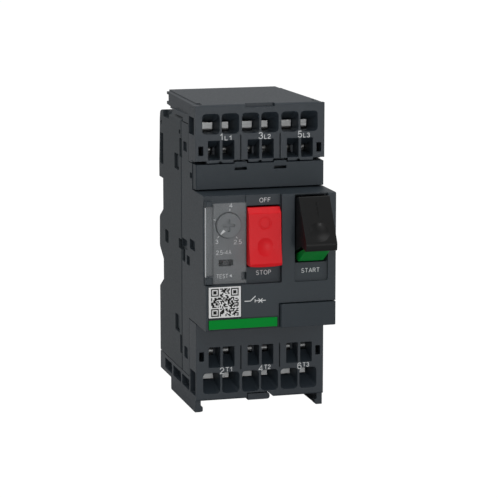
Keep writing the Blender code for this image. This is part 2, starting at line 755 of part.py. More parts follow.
# the hinge barrel and the thinner pin through it
join_rods(
    clear_cover, "barrel",
    [
        ("Z", *COVER_HINGE, COVER_HINGE_Z, 1.0, COVER_LEAF_Z[1] - COVER_LEAF_Z[0]),
        ("Z", *COVER_HINGE, COVER_HINGE_Z, 0.45, 25.9),
    ],
)
set_origin(clear_cover, *COVER_HINGE, 6.0)

test_slider = box(
    "test_slider", (-15.9, -14.1), (57.0, 63.1), (-1.8, -0.2), MECHANISM_PLASTIC
)
join_boxes(test_slider, "flange", [((-18.2, -12.0), (57.0, 59.6), (-3.2, 1.2))])


# ---------------------------------------------------------------- mechanism lever

mechanism_lever = prism(
    "mechanism_lever",
    [
        (44.0, 15.2), (46.6, 13.8), (51.4, 2.6), (50.6, 1.2), (48.8, 1.6), (45.4, 8.4),
        (42.6, 8.4), (40.4, -2.6), (38.9, -2.8), (38.2, -1.4), (40.6, 11.0), (41.4, 13.8),
    ],
    LEVER_X,
    MECHANISM_PLASTIC,
)
hang_on_pin(mechanism_lever, middle_of(LEVER_X), LEVER_PIVOT, 8.0)
pin("lever_pin", middle_of(LEVER_X), LEVER_PIVOT, 9.8)


# ---------------------------------------------------------------- carrier and moving contacts

contact_carrier = box(
    "contact_carrier", (-19.0, 19.0), (34.6, 37.6), (-3.0, 3.0), MECHANISM_PLASTIC
)
join_boxes(contact_carrier, "legs", pole_boxes(3.5, (19.2, 35.0), (-2.8, 2.8)))
cut_boxes(contact_carrier, windows=pole_boxes(2.6, (21.0, 30.0), (-4.0, 4.0)))


def moving_contact(number, pole):
    """A bridge through the carrier's window, with a pad on its rear at each end."""
    bridge = box(
        f"moving_contact_{number}", around(pole, 2.3), (21.3, 22.5), (-10.2, 10.2), COPPER
    )
    join_rods(
        bridge, "pads",
        [("Y", pole, MOVING_PAD_DEPTH, z, PAD_R, MOVING_PAD_LENGTH) for z in (-PAD_Z, PAD_Z)],
    )


for number, pole in enumerate(POLES, start=1):
    moving_contact(number, pole)
    helix(
        f"contact_spring_{number}", "Y", (pole, 26.25, 0.0), STEEL,
        radius=1.7, wire_radius=0.3, turns=4, length=6.0, per_turn=10,
    )


# ---------------------------------------------------------------- trip bar

trip_bar = rod_piece("trip_bar", ("X", 0.0, *TRIP_PIVOT, 1.5, 40.0), MECHANISM_PLASTIC, 16)
# each finger runs back from the bar, then turns down
join_boxes(
    trip_bar, "fingers",
    pole_boxes(1.6, (31.4, 36.0), around(TRIP_PIVOT[1], 0.8))
    + pole_boxes(1.5, (31.3, 32.4), (-21.2, TRIP_PIVOT[1] + 0.7)),
)
set_origin(trip_bar, 0.0, *TRIP_PIVOT)


# ---------------------------------------------------------------- rail latch

rail_latch = box("rail_latch", around(0.0, LATCH_HALF), LATCH_DEPTHS, LATCH_Z, LATCH_PLASTIC)
join_boxes(rail_latch, "runner", [(around(0.0, RUNNER_HALF), (0.3, 3.0), LATCH_Z)])
cut_boxes(
    rail_latch,
    spring_window=[((-2.2, 2.2), (-1.0, 6.0), (-43.5, -28.0))],
    pull_slot=[((-2.6, 2.6), (-1.0, 6.0), (-48.4, -46.4))],
)
helix(
    "latch_spring", "Z", (0.0, 2.6, -33.0), STEEL,
    radius=1.1, wire_radius=0.25, turns=5, length=8.6, per_turn=10,
)
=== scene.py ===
import json
import math
import random

import bmesh
import bpy
from mathutils import Matrix, Vector

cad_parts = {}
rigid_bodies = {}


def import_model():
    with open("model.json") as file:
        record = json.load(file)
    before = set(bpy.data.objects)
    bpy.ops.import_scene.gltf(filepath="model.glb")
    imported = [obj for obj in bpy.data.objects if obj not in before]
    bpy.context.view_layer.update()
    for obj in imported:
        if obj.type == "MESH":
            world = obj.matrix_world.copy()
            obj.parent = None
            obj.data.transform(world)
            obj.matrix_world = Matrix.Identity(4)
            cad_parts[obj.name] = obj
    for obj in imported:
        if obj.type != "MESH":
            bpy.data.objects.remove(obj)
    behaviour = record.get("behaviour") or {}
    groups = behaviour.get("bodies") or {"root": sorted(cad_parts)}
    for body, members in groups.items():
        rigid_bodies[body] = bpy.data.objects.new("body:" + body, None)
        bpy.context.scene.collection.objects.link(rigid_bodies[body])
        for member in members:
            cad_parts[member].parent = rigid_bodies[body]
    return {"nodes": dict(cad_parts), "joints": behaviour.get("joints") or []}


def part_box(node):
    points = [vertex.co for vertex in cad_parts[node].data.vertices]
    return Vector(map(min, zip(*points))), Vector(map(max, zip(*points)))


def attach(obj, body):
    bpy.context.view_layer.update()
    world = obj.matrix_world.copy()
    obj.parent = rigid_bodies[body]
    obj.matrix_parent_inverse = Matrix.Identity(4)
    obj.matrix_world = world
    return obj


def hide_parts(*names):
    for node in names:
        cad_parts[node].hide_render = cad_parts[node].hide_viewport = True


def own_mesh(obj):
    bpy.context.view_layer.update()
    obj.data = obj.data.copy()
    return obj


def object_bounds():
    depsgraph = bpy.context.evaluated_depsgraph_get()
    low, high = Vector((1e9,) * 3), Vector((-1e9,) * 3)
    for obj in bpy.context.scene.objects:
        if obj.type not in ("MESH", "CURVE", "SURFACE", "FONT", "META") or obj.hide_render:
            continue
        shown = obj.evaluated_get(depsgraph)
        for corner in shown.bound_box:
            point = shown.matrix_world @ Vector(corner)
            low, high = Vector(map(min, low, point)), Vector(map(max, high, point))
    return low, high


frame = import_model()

CAD_LOW, CAD_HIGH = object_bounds()
for extra in [o for o in bpy.data.objects if o.type in ("CAMERA", "LIGHT")]:
    bpy.data.objects.remove(extra, do_unlink=True)
for extra in [o for o in bpy.data.objects if o.name == "Cube"]:
    bpy.data.objects.remove(extra, do_unlink=True)

MM = 0.001
POLES = (-13.7, 0.0, 13.7)
NODES = frame["nodes"]


def node_box(name):
    """A CAD node's box in millimetres as (x low, x high), (depth low, depth high), (z low, z high)."""
    low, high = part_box(name)
    low, high = low / MM, high / MM
    return (low.x, high.x), (-high.y, -low.y), (low.z, high.z)


# ------------------------------------------------------------------ sizes read from the frame

UP_X, UP_D, UP_Z = node_box("upper_terminal_block")
LO_X, LO_D, LO_Z = node_box("lower_terminal_block")
FR_X, FR_D, FR_Z = node_box("front_housing")
RE_X, RE_D, RE_Z = node_box("rear_housing")
STRIP_X, STRIP_D, STRIP_Z = node_box("marking_strip")
DIAL_BX, DIAL_BD, DIAL_BZ = node_box("setting_dial")
HALF = FR_X[1]
T_D = UP_D[1]  # depth of the terminal front plane
M_D = FR_D[1]  # depth of the middle front plane
JOINTS = {j["name"]: j for j in frame["joints"]}


def joint_point(name):
    x, y, z = JOINTS[name]["pos_m"]
    return x / MM, -y / MM, z / MM


# ------------------------------------------------------------------ node materials


def linear(value):
    value /= 255.0
    return value / 12.92 if value <= 0.04045 else ((value + 0.055) / 1.055) ** 2.4


def rgb_linear(rgb):
    return (*[linear(v) for v in rgb], 1.0)


def new_material(name):
    made = bpy.data.materials.new(name)
    made.use_nodes = True
    tree = made.node_tree
    shader = tree.nodes["Principled BSDF"]
    return made, tree, shader


def noise(tree, coordinates, scale, detail=3.0, roughness=0.5, stretch=None):
    node = tree.nodes.new("ShaderNodeTexNoise")
    node.inputs["Scale"].default_value = scale
    node.inputs["Detail"].default_value = detail
    node.inputs["Roughness"].default_value = roughness
    source = coordinates
    if stretch:
        mapping = tree.nodes.new("ShaderNodeMapping")
        mapping.inputs["Scale"].default_value = stretch
        tree.links.new(coordinates, mapping.inputs["Vector"])
        source = mapping.outputs["Vector"]
    tree.links.new(source, node.inputs["Vector"])
    return node.outputs["Fac"]


def map_range(tree, value, low, high, to_low, to_high):
    node = tree.nodes.new("ShaderNodeMapRange")
    node.inputs["From Min"].default_value = low
    node.inputs["From Max"].default_value = high
    node.inputs["To Min"].default_value = to_low
    node.inputs["To Max"].default_value = to_high
    tree.links.new(value, node.inputs["Value"])
    return node.outputs["Result"]


def multiply(tree, a, b):
    node = tree.nodes.new("ShaderNodeMath")
    node.operation = "MULTIPLY"
    tree.links.new(a, node.inputs[0])
    if isinstance(b, float):
        node.inputs[1].default_value = b
    else:
        tree.links.new(b, node.inputs[1])
    return node.outputs[0]


def add(tree, a, b):
    node = tree.nodes.new("ShaderNodeMath")
    node.operation = "ADD"
    tree.links.new(a, node.inputs[0])
    tree.links.new(b, node.inputs[1])
    return node.outputs[0]


def scaled_colour(tree, rgb, factor):
    """The colour with its brightness multiplied by factor, a socket."""
    node = tree.nodes.new("ShaderNodeHueSaturation")
    node.inputs["Color"].default_value = rgb
    tree.links.new(factor, node.inputs["Value"])
    return node.outputs["Color"]


def edge_mask(tree, radius):
    """1 along edges and 0 on flats, and the rounded normal, from the Bevel node."""
    bevel = tree.nodes.new("ShaderNodeBevel")
    bevel.samples = 4
    bevel.inputs["Radius"].default_value = radius
    geometry = tree.nodes.new("ShaderNodeNewGeometry")
    dot = tree.nodes.new("ShaderNodeVectorMath")
    dot.operation = "DOT_PRODUCT"
    tree.links.new(bevel.outputs["Normal"], dot.inputs[0])
    tree.links.new(geometry.outputs["Normal"], dot.inputs[1])
    return map_range(tree, dot.outputs["Value"], 0.75, 0.985, 1.0, 0.0), bevel.outputs["Normal"]


def bump(tree, height, distance, strength, normal=None):
    node = tree.nodes.new("ShaderNodeBump")
    node.inputs["Distance"].default_value = distance
    node.inputs["Strength"].default_value = strength
    tree.links.new(height, node.inputs["Height"])
    if normal is not None:
        tree.links.new(normal, node.inputs["Normal"])
    return node.outputs["Normal"]


def inside_box(tree, place, low, high):
    """1 where the coordinates lie between the corners low and high, else 0."""
    split = tree.nodes.new("ShaderNodeSeparateXYZ")
    tree.links.new(place, split.inputs["Vector"])
    found = None
    for axis, a, b in zip("XYZ", low, high):
        for kind, limit in (("GREATER_THAN", a), ("LESS_THAN", b)):
            node = tree.nodes.new("ShaderNodeMath")
            node.operation = kind
            tree.links.new(split.outputs[axis], node.inputs[0])
            node.inputs[1].default_value = limit
            found = node.outputs[0] if found is None else multiply(tree, found, node.outputs[0])
    return found


def plastic(name, rgb, rough=0.5, variation=0.05, grain=0.35, wear=0.22, radius=0.00022, specular=0.5, coat=0.0, panel=None):
    """Moulded plastic: cloudy colour, spark-eroded grain, worn and shinier edges. panel is two (low corner, high corner) boxes and their other colour."""
    made, tree, shader = new_material(name)
    place = tree.nodes.new("ShaderNodeTexCoord").outputs["Object"]
    cloud = noise(tree, place, 70.0, 4.0, 0.6)
    fine = noise(tree, place, 1500.0, 3.0, 0.65)
    grit = noise(tree, place, 5200.0, 2.0, 0.7)
    edge, rounded = edge_mask(tree, radius)
    factor = multiply(
        tree, map_range(tree, cloud, 0.3, 0.7, 1.0 - variation, 1.0 + variation),
        map_range(tree, fine, 0.3, 0.7, 1.0 - variation * 0.6, 1.0 + variation * 0.6),
    )
    factor = multiply(tree, factor, map_range(tree, edge, 0.0, 1.0, 1.0, 1.0 + wear))
    if panel:
        blend = tree.nodes.new("ShaderNodeMix")
        blend.data_type = "RGBA"
        either = tree.nodes.new("ShaderNodeMath")
        either.operation = "MAXIMUM"
        for socket, (low, high) in zip(either.inputs, panel[:2]):
            tree.links.new(inside_box(tree, place, low, high), socket)
        tree.links.new(either.outputs[0], blend.inputs["Factor"])
        tree.links.new(scaled_colour(tree, rgb_linear(rgb), factor), blend.inputs["A"])
        tree.links.new(scaled_colour(tree, rgb_linear(panel[2]), factor), blend.inputs["B"])
        tree.links.new(blend.outputs["Result"], shader.inputs["Base Color"])
    else:
        tree.links.new(scaled_colour(tree, rgb_linear(rgb), factor), shader.inputs["Base Color"])
    roughness = add(
        tree, map_range(tree, fine, 0.3, 0.7, rough - 0.06, rough + 0.06),
        map_range(tree, edge, 0.0, 1.0, 0.0, -0.12),
    )
    tree.links.new(roughness, shader.inputs["Roughness"])
    shader.inputs["Specular IOR Level"].default_value = specular
    shader.inputs["Coat Weight"].default_value = coat
    height = add(tree, fine, multiply(tree, grit, 0.5))
    tree.links.new(bump(tree, height, 0.00005, grain, rounded), shader.inputs["Normal"])
    return made


def metal(name, rgb, rough=0.3, stretch=(1.0, 1.0, 14.0), tarnish=0.25):
    """Bare metal: drawn or brushed along one direction, with a little tarnish."""
    made, tree, shader = new_material(name)
    place = tree.nodes.new("ShaderNodeTexCoord").outputs["Object"]
    streak = noise(tree, place, 900.0, 3.0, 0.6, stretch)
    cloud = noise(tree, place, 160.0, 3.0, 0.6)
    edge, rounded = edge_mask(tree, 0.00012)
    factor = multiply(
        tree, map_range(tree, streak, 0.3, 0.7, 0.92, 1.06), map_range(tree, cloud, 0.35, 0.75, 1.0, 1.0 - tarnish)
    )
    factor = multiply(tree, factor, map_range(tree, edge, 0.0, 1.0, 1.0, 1.12))
    tree.links.new(scaled_colour(tree, rgb_linear(rgb), factor), shader.inputs["Base Color"])
    tree.links.new(map_range(tree, streak, 0.3, 0.7, rough - 0.08, rough + 0.1), shader.inputs["Roughness"])
    shader.inputs["Metallic"].default_value = 1.0
    tree.links.new(bump(tree, streak, 0.00003, 0.25, rounded), shader.inputs["Normal"])
    return made


def ink(name, rgb, rough=0.55):
    """Pad-printed ink: slightly uneven cover."""
    made, tree, shader = new_material(name)
    place = tree.nodes.new("ShaderNodeTexCoord").outputs["Object"]
    patch = noise(tree, place, 1800.0, 3.0, 0.6)
    factor = map_range(tree, patch, 0.35, 0.7, 0.9, 1.04)
    tree.links.new(scaled_colour(tree, rgb_linear(rgb), factor), shader.inputs["Base Color"])
    tree.links.new(map_range(tree, patch, 0.3, 0.7, rough - 0.05, rough + 0.08), shader.inputs["Roughness"])
    tree.links.new(bump(tree, patch, 0.00001, 0.3), shader.inputs["Normal"])
    return made


def film(name, rgb, rough=0.35, specular=0.3):
    """Printed label film: fine dot print and a soft sheen."""
    made, tree, shader = new_material(name)
    place = tree.nodes.new("ShaderNodeTexCoord").outputs["Object"]
    patch = noise(tree, place, 500.0, 4.0, 0.6)
    dots = noise(tree, place, 6000.0, 1.0, 0.5)
    factor = multiply(
        tree, map_range(tree, patch, 0.3, 0.7, 0.97, 1.03), map_range(tree, dots, 0.3, 0.7, 0.985, 1.015)
    )
    tree.links.new(scaled_colour(tree, rgb_linear(rgb), factor), shader.inputs["Base Color"])
    tree.links.new(map_range(tree, patch, 0.3, 0.7, rough - 0.05, rough + 0.07), shader.inputs["Roughness"])
    shader.inputs["Specular IOR Level"].default_value = specular
    tree.links.new(bump(tree, patch, 0.00002, 0.15), shader.inputs["Normal"])
    return made


def clear_plastic(name, rgb, cover=0.3, rough=0.1):
    """Clear moulded cover: see-through, with a light haze, fine scratches and brighter edges. No refraction, as it is thin."""
    made, tree, shader = new_material(name)
    place = tree.nodes.new("ShaderNodeTexCoord").outputs["Object"]
    scratch = noise(tree, place, 420.0, 4.0, 0.6, (1.0, 1.0, 0.12))
    cloud = noise(tree, place, 90.0, 3.0, 0.6)
    edge, rounded = edge_mask(tree, 0.00025)
    factor = map_range(tree, cloud, 0.3, 0.7, 0.97, 1.03)
    tree.links.new(scaled_colour(tree, rgb_linear(rgb), factor), shader.inputs["Base Color"])
    tree.links.new(map_range(tree, scratch, 0.3, 0.7, rough, rough + 0.06), shader.inputs["Roughness"])
    tree.links.new(bump(tree, scratch, 0.000004, 0.12, rounded), shader.inputs["Normal"])
    shader.inputs["Specular IOR Level"].default_value = 0.35
    alpha = add(
        tree, map_range(tree, cloud, 0.3, 0.7, cover * 0.9, cover * 1.1),
        map_range(tree, edge, 0.0, 1.0, 0.0, 0.12),
    )
    tree.links.new(alpha, shader.inputs["Alpha"])
    return made


MAT_FRONT = plastic(
    "front_grey", (50, 59, 66), 0.46,
    panel=(
        ((-0.0214, -0.0645, -0.0052), (-0.0188, -0.0623, 0.0180)), ((-0.0194, -0.0645, -0.0080), (-0.0081, -0.0630, 0.0190)),
        (114, 118, 121),
    ),
)
MAT_REAR = plastic("rear_grey", (53, 61, 66), 0.52)
MAT_TERM = plastic("terminal_grey", (48, 57, 65), 0.46, specular=0.62)
MAT_STRIP = plastic("strip_grey", (41, 52, 60), 0.46)
MAT_BLANK = plastic("blank_grey", (40, 51, 59), 0.46)
MAT_BLACK = plastic("button_black", (8, 9, 10), 0.36, 0.04, 0.25, 0.5, specular=0.34)
MAT_RED = plastic("button_red", (248, 24, 36), 0.36, 0.02, 0.15, 0.06, specular=0.25)
MAT_GREEN = plastic("insert_green", (4, 146, 56), 0.42, 0.03, 0.2, 0.1, specular=0.3)
MAT_DIAL = plastic("dial_grey", (114, 118, 121), 0.42, 0.03, 0.2, 0.1)
MAT_SLIDER = plastic("slider_dark", (26, 30, 34), 0.4)
MAT_CREAM = plastic("mechanism_cream", (214, 207, 190), 0.5, 0.04)
MAT_LATCH = plastic("latch_dark", (50, 54, 58), 0.5)
MAT_CLEAR = clear_plastic("cover_clear", (205, 210, 213), 0.06)
# near-white colour for the painted highlight: the light caught along the clear cover's left edge, painted as an opaque
# strip
MAT_COVER_EDGE_HIGHLIGHT = plastic("cover_edge_painted_highlight", (236, 240, 242), 0.25, 0.02, 0.1, 0.05)
MAT_STEEL = metal("spring_steel_bright", (186, 188, 188), 0.5, tarnish=0.12)
MAT_TIN = metal("tinned_copper_strip", (205, 186, 160), 0.3)
MAT_COPPER = metal("copper_wire", (196, 112, 66), 0.28)
MAT_BIMETAL = metal("rolled_bimetal", (176, 166, 150), 0.3)
MAT_ZINC = metal("zinc_plate", (168, 170, 170), 0.36, (1.0, 10.0, 1.0))
MAT_INK = ink("ink_pale", (236, 239, 240))
MAT_LABEL = film("label_white", (250, 251, 251))
MAT_MODULE = film("label_black", (4, 4, 4), 0.5)
MAT_BAND = film("label_green_film", (0, 150, 54), 0.55, 0.1)


# ------------------------------------------------------------------ mesh helpers (millimetres, depth to the front)


def point(x, depth, z):
    return Vector((x, -depth, z)) * MM


def mesh_object(name, bm, temporary=False):
    bmesh.ops.recalc_face_normals(bm, faces=bm.faces)
    mesh = bpy.data.meshes.new(name)
    bm.to_mesh(mesh)
    bm.free()
    made = bpy.data.objects.new(name, mesh)
    bpy.context.scene.collection.objects.link(made)
    return made


def box_verts(bm, xs, depths, zs):
    size = Vector((abs(xs[1] - xs[0]), abs(depths[1] - depths[0]), abs(zs[1] - zs[0]))) * MM
    middle = point(sum(xs) / 2, sum(depths) / 2, sum(zs) / 2)
    made = bmesh.ops.create_cube(bm, size=1.0, matrix=Matrix.Translation(middle) @ Matrix.Diagonal((*size, 1.0)))
    return made["verts"]


def round_edges(bm, verts, radius, segments, pick):
    edges = {e for v in verts for e in v.link_edges if pick(e)}
    return bmesh.ops.bevel(
        bm, geom=list(edges), offset=radius * MM, offset_type="OFFSET", segments=segments, profile=0.5,
        affect="EDGES", clamp_overlap=True,
    )


def along(axis):
    """Picks edges that run along an axis: 0 is X, 1 is Y (depth), 2 is Z."""

    def pick(edge):
        d = edge.verts[1].co - edge.verts[0].co
        return abs(d[axis]) > 0.999 * d.length

    return pick


def rounded_box(name, xs, depths, zs, radius=0.0, axis=None, segments=4, taper=None):
    """A box, with the edges along one axis (or all, for axis None) rounded. taper shrinks its rear end: (left, right, bottom, top)."""
    bm = bmesh.new()
    verts = box_verts(bm, xs, depths, zs)
    if taper:
        rear = -min(depths) * MM
        middle = point(sum(xs) / 2, 0, sum(zs) / 2)
        for v in verts:
            if abs(v.co.y - rear) < 1e-7:
                v.co.x += (taper[0] if v.co.x < middle.x else -taper[1]) * MM
                v.co.z += (taper[2] if v.co.z < middle.z else -taper[3]) * MM
    if radius > 0:
        if axis is None:
            pick = lambda e: True
        elif taper and axis == 1:
            pick = lambda e: abs(e.verts[0].co.y - e.verts[1].co.y) > 1e-5
        else:
            pick = along(axis)
        round_edges(bm, verts, radius, segments, pick)
    return mesh_object(name, bm)


def cylinder(name, axis, x, depth, z, radius, length, segments=48, radius2=None):
    bm = bmesh.new()
    turn = {
        "X": Matrix.Rotation(math.radians(90), 4, "Y"),
        "Y": Matrix.Rotation(math.radians(90), 4, "X"),
        "Z": Matrix.Identity(4),
    }[axis]
    bmesh.ops.create_cone(
        bm, cap_ends=True, segments=segments, radius1=radius * MM, radius2=(radius2 or radius) * MM,
        depth=length * MM, matrix=Matrix.Translation(point(x, depth, z)) @ turn,
    )
    return mesh_object(name, bm)


def prism(name, outline, xs):
    """A closed (depth, z) outline extruded along X."""
    bm = bmesh.new()
    left = [bm.verts.new(point(xs[0], d, z)) for d, z in outline]
    face = bm.faces.new(left)
    made = bmesh.ops.extrude_face_region(bm, geom=[face])
    moved = [g for g in made["geom"] if isinstance(g, bmesh.types.BMVert)]
    bmesh.ops.translate(bm, verts=moved, vec=Vector(((xs[1] - xs[0]) * MM, 0, 0)))
    return mesh_object(name, bm)


def rounded_outline(points, default=0.0, segments=4):
    """Corner rounding of an outline: each point is (depth, z) or (depth, z, radius)."""
    out = []
    count = len(points)
    for i, p in enumerate(points):
        radius = p[2] if len(p) > 2 else default
        here = Vector(p[:2])
        if radius <= 0:
            out.append(tuple(here))
            continue
        before, after = Vector(points[i - 1][:2]), Vector(points[(i + 1) % count][:2])
        a, b = (before - here), (after - here)
        angle = a.angle(b)
        if angle < 0.05 or angle > math.pi - 0.05:
            out.append(tuple(here))
            continue
        reach = min(radius / math.tan(angle / 2), a.length * 0.49, b.length * 0.49)
        r = reach * math.tan(angle / 2)
        start, end = here + a.normalized() * reach, here + b.normalized() * reach
        centre = here + (a.normalized() + b.normalized()).normalized() * (r / math.sin(angle / 2))
        v0, v1 = start - centre, end - centre
        sweep = v0.angle(v1)
        cross = v0.x * v1.y - v0.y * v1.x
        for k in range(segments + 1):
            t = sweep * k / segments * (1 if cross > 0 else -1)
            c, s = math.cos(t), math.sin(t)
            out.append((centre.x + v0.x * c - v0.y * s, centre.y + v0.x * s + v0.y * c))
    return out


def smooth_path(path, steps=5):
    """A Catmull-Rom curve through the points."""
    pts = [Vector(p) for p in path]
    pts = [pts[0] * 2 - pts[1]] + pts + [pts[-1] * 2 - pts[-2]]
    out = []
    for i in range(1, len(pts) - 2):
        p0, p1, p2, p3 = pts[i - 1 : i + 3]
        for k in range(steps):
            t = k / steps
            out.append(
                tuple(
                    0.5 * ((2 * p1) + (p2 - p0) * t + (2 * p0 - 5 * p1 + 4 * p2 - p3) * t * t
                           + (3 * p1 - p0 - 3 * p2 + p3) * t * t * t)
                )
            )
    out.append(tuple(pts[-2]))
    return out


def strip_outline(path, thickness):
    sides = ([], [])
    for i in range(len(path)):
        before, here, after = Vector(path[max(i - 1, 0)]), Vector(path[i]), Vector(path[min(i + 1, len(path) - 1)])
        first = (here - before).normalized() if i else (after - here).normalized()
        second = (after - here).normalized() if i < len(path) - 1 else first
        normal = Vector((-(first + second).y, (first + second).x)).normalized()
        reach = thickness / 2 / max(0.6, normal.dot(Vector((-first.y, first.x))))
        sides[0].append(tuple(here + normal * reach))
        sides[1].append(tuple(here - normal * reach))
    return sides[0] + sides[1][::-1]


def evaluated_mesh(obj):
    bpy.context.view_layer.update()
    graph = bpy.context.evaluated_depsgraph_get()
    return bpy.data.meshes.new_from_object(obj.evaluated_get(graph), depsgraph=graph)


def boolean_all(base, operations):
    """Applies ("cut" | "join", object) steps to base in order, and removes the other objects."""
    for kind, other in operations:
        modifier = base.modifiers.new("step", "BOOLEAN")
        modifier.operation = "DIFFERENCE" if kind == "cut" else "UNION"
        modifier.solver = "EXACT"
        modifier.object = other
        other.hide_render = True
    mesh = evaluated_mesh(base)
    base.modifiers.clear()
    base.data = mesh
    for _, other in operations:
        bpy.data.objects.remove(other, do_unlink=True)
    return base


def tidy(obj, width=0.18, segments=2, angle=32.0, smooth_angle=38.0):
    """Merges what the Booleans left in flat faces, rounds every sharp edge by width, and shades it."""
    bm = bmesh.new()
    bm.from_mesh(obj.data)
    bmesh.ops.remove_doubles(bm, verts=bm.verts, dist=2e-6)
    bmesh.ops.dissolve_degenerate(bm, edges=bm.edges, dist=1e-6)
    bmesh.ops.dissolve_limit(
        bm, angle_limit=math.radians(0.4), use_dissolve_boundaries=False, verts=bm.verts, edges=bm.edges
    )
    bm.to_mesh(obj.data)
    bm.free()
    if width > 0:
        modifier = obj.modifiers.new("edge_rounding", "BEVEL")
        modifier.width = width * MM
        modifier.segments = segments
        modifier.limit_method = "ANGLE"
        modifier.angle_limit = math.radians(angle)
        modifier.use_clamp_overlap = True
        modifier.miter_outer = "MITER_ARC"
        modifier.harden_normals = False
        mesh = evaluated_mesh(obj)
        obj.modifiers.clear()
        obj.data = mesh
    shade(obj, smooth_angle)
    return obj


def shade(obj, angle=38.0):
    obj.data.shade_smooth()
    obj.data.set_sharp_from_angle(angle=math.radians(angle))
    modifier = obj.modifiers.new("flat_faces", "WEIGHTED_NORMAL")
    modifier.keep_sharp = True
    modifier.weight = 80
    return obj


def paint(obj, *materials):
    obj.data.materials.clear()
    for m in materials:
        obj.data.materials.append(m)
    return obj


def place(obj, body, slot, *replaced):
    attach(obj, body)
    if replaced:
        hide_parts(*replaced)
    return obj


def ring_points(cx, cz, rx, rz, start, end, steps):
    return [
        (cx + rx * math.cos(math.radians(start + (end - start) * k / steps)),
         cz + rz * math.sin(math.radians(start + (end - start) * k / steps)))
        for k in range(steps + 1)
    ]


# plain sans-serif characters as pen strokes in a cap height of 1
STROKES = {
    "1": [[(0.02, 0.76), (0.17, 0.81), (0.30, 1.0), (0.30, 0.0)]],
    "2": [ring_points(0.30, 0.71, 0.26, 0.29, 175, -30, 10) + [(0.38, 0.44), (0.14, 0.22), (0.04, 0.0), (0.60, 0.0)]],
    "3": [
        ring_points(0.29, 0.76, 0.24, 0.24, 165, -90, 10),
        ring_points(0.29, 0.26, 0.28, 0.27, 90, -165, 12),
    ],
    "4": [[(0.46, 0.0), (0.46, 1.0), (0.02, 0.29), (0.64, 0.29)]],
    "5": [[(0.54, 1.0), (0.13, 1.0), (0.07, 0.52)] + ring_points(0.29, 0.30, 0.28, 0.31, 125, -160, 12)],
    "6": [
        ring_points(0.32, 0.62, 0.28, 0.38, 40, 180, 9) + ring_points(0.31, 0.31, 0.27, 0.32, 180, 520, 16),
    ],
    "L": [[(0.05, 1.0), (0.05, 0.0), (0.52, 0.0)]],
    "T": [[(0.0, 1.0), (0.64, 1.0)], [(0.32, 1.0), (0.32, 0.0)]],
    "S": [ring_points(0.31, 0.75, 0.24, 0.25, 20, 235, 9) + ring_points(0.31, 0.25, 0.28, 0.26, 50, -160, 10)],
    "O": [ring_points(0.38, 0.5, 0.36, 0.51, 90, 450, 24)],
    "P": [[(0.05, 0.0), (0.05, 1.0), (0.34, 1.0)] + ring_points(0.34, 0.74, 0.24, 0.26, 80, -80, 8) + [(0.34, 0.48), (0.05, 0.48)]],
    "A": [[(0.0, 0.0), (0.34, 1.0), (0.68, 0.0)], [(0.12, 0.33), (0.56, 0.33)]],
    "R": [
        [(0.05, 0.0), (0.05, 1.0), (0.34, 1.0)] + ring_points(0.34, 0.76, 0.24, 0.24, 80, -80, 8) + [(0.34, 0.52), (0.05, 0.52)],
        [(0.34, 0.52), (0.62, 0.0)],
    ],
    "F": [[(0.56, 1.0), (0.05, 1.0), (0.05, 0.0)], [(0.05, 0.53), (0.48, 0.53)]],
    "E": [[(0.60, 1.0), (0.05, 1.0), (0.05, 0.0), (0.62, 0.0)], [(0.05, 0.53), (0.54, 0.53)]],
    ".": [[(0.07, -0.01), (0.07, 0.08)]],
    "-": [[(0.02, 0.37), (0.34, 0.37)]],
}


def ribbon(bm, path, depth, width, thick):
    """A flat stroke along (x, z) points, width and thick in millimetres."""
    path = [Vector(p) for p in path]
    closed = (path[0] - path[-1]).length < 1e-6
    if closed:
        path = path[:-1]
    n = len(path)
    sides = []
    for i, here in enumerate(path):
        before = path[i - 1] if (i or closed) else None
        after = path[(i + 1) % n] if (i < n - 1 or closed) else None
        first = (here - before).normalized() if before is not None else (after - here).normalized()
        second = (after - here).normalized() if after is not None else first
        mean = (first + second)
        mean = mean.normalized() if mean.length > 1e-6 else first
        normal = Vector((-mean.y, mean.x))
        reach = width / 2 / max(0.5, normal.dot(Vector((-first.y, first.x))))
        sides.append((here + normal * reach, here - normal * reach))
    rings = []
    for a, b in sides:
        rings.append(
            [bm.verts.new(point(c.x, d, c.y)) for c, d in ((a, depth), (b, depth), (b, depth + thick), (a, depth + thick))]
        )
    count = n if closed else n - 1
    for i in range(count):
        r0, r1 = rings[i], rings[(i + 1) % n]
        for k in range(4):
            bm.faces.new((r0[k], r0[(k + 1) % 4], r1[(k + 1) % 4], r1[k]))
    if not closed:
        bm.faces.new(rings[0])
        bm.faces.new(rings[-1][::-1])


def printed(name, text, x, depth, z, height, width=None, weight=None, gap=0.26):
    """Printed characters on a front-facing surface: cap height and width in millimetres, centred on x, z. Placed later by print_group."""
    weight = weight or height * 0.12
    pen, paths = 0.0, []
    for character in text:
        strokes = STROKES[character]
        low = min(p[0] for stroke in strokes for p in stroke)
        high = max(p[0] for stroke in strokes for p in stroke)
        for stroke in strokes:
            paths.append([(p[0] - low + pen, p[1]) for p in stroke])
        pen += high - low + gap
    wide = pen - gap
    across = (width - weight) / wide if width else height
    up = height - weight
    bm = bmesh.new()
    for index, stroke in enumerate(paths):
        ribbon(
            bm, [(x + (p[0] - wide / 2) * across, z + (p[1] - 0.5) * up) for p in stroke], depth, weight,
            0.02 + 0.002 * (index % 4),
        )
    return mesh_object(name, bm)


def print_group(name, pieces, body="housing", mat=None):
    made = join(name, pieces)
    paint(made, mat or MAT_INK)
    place(made, body, "label_paper")
    return made


def join(name, objects):
    """One mesh object from several, each keeping its own closed surface."""
    bm = bmesh.new()
    for o in objects:
        mesh = evaluated_mesh(o)
        bm.from_mesh(mesh)
        bpy.data.meshes.remove(mesh)
        bpy.data.objects.remove(o, do_unlink=True)
    mesh = bpy.data.meshes.new(name)
    bm.to_mesh(mesh)
    bm.free()
    made = bpy.data.objects.new(name, mesh)
    bpy.context.scene.collection.objects.link(made)
    return made


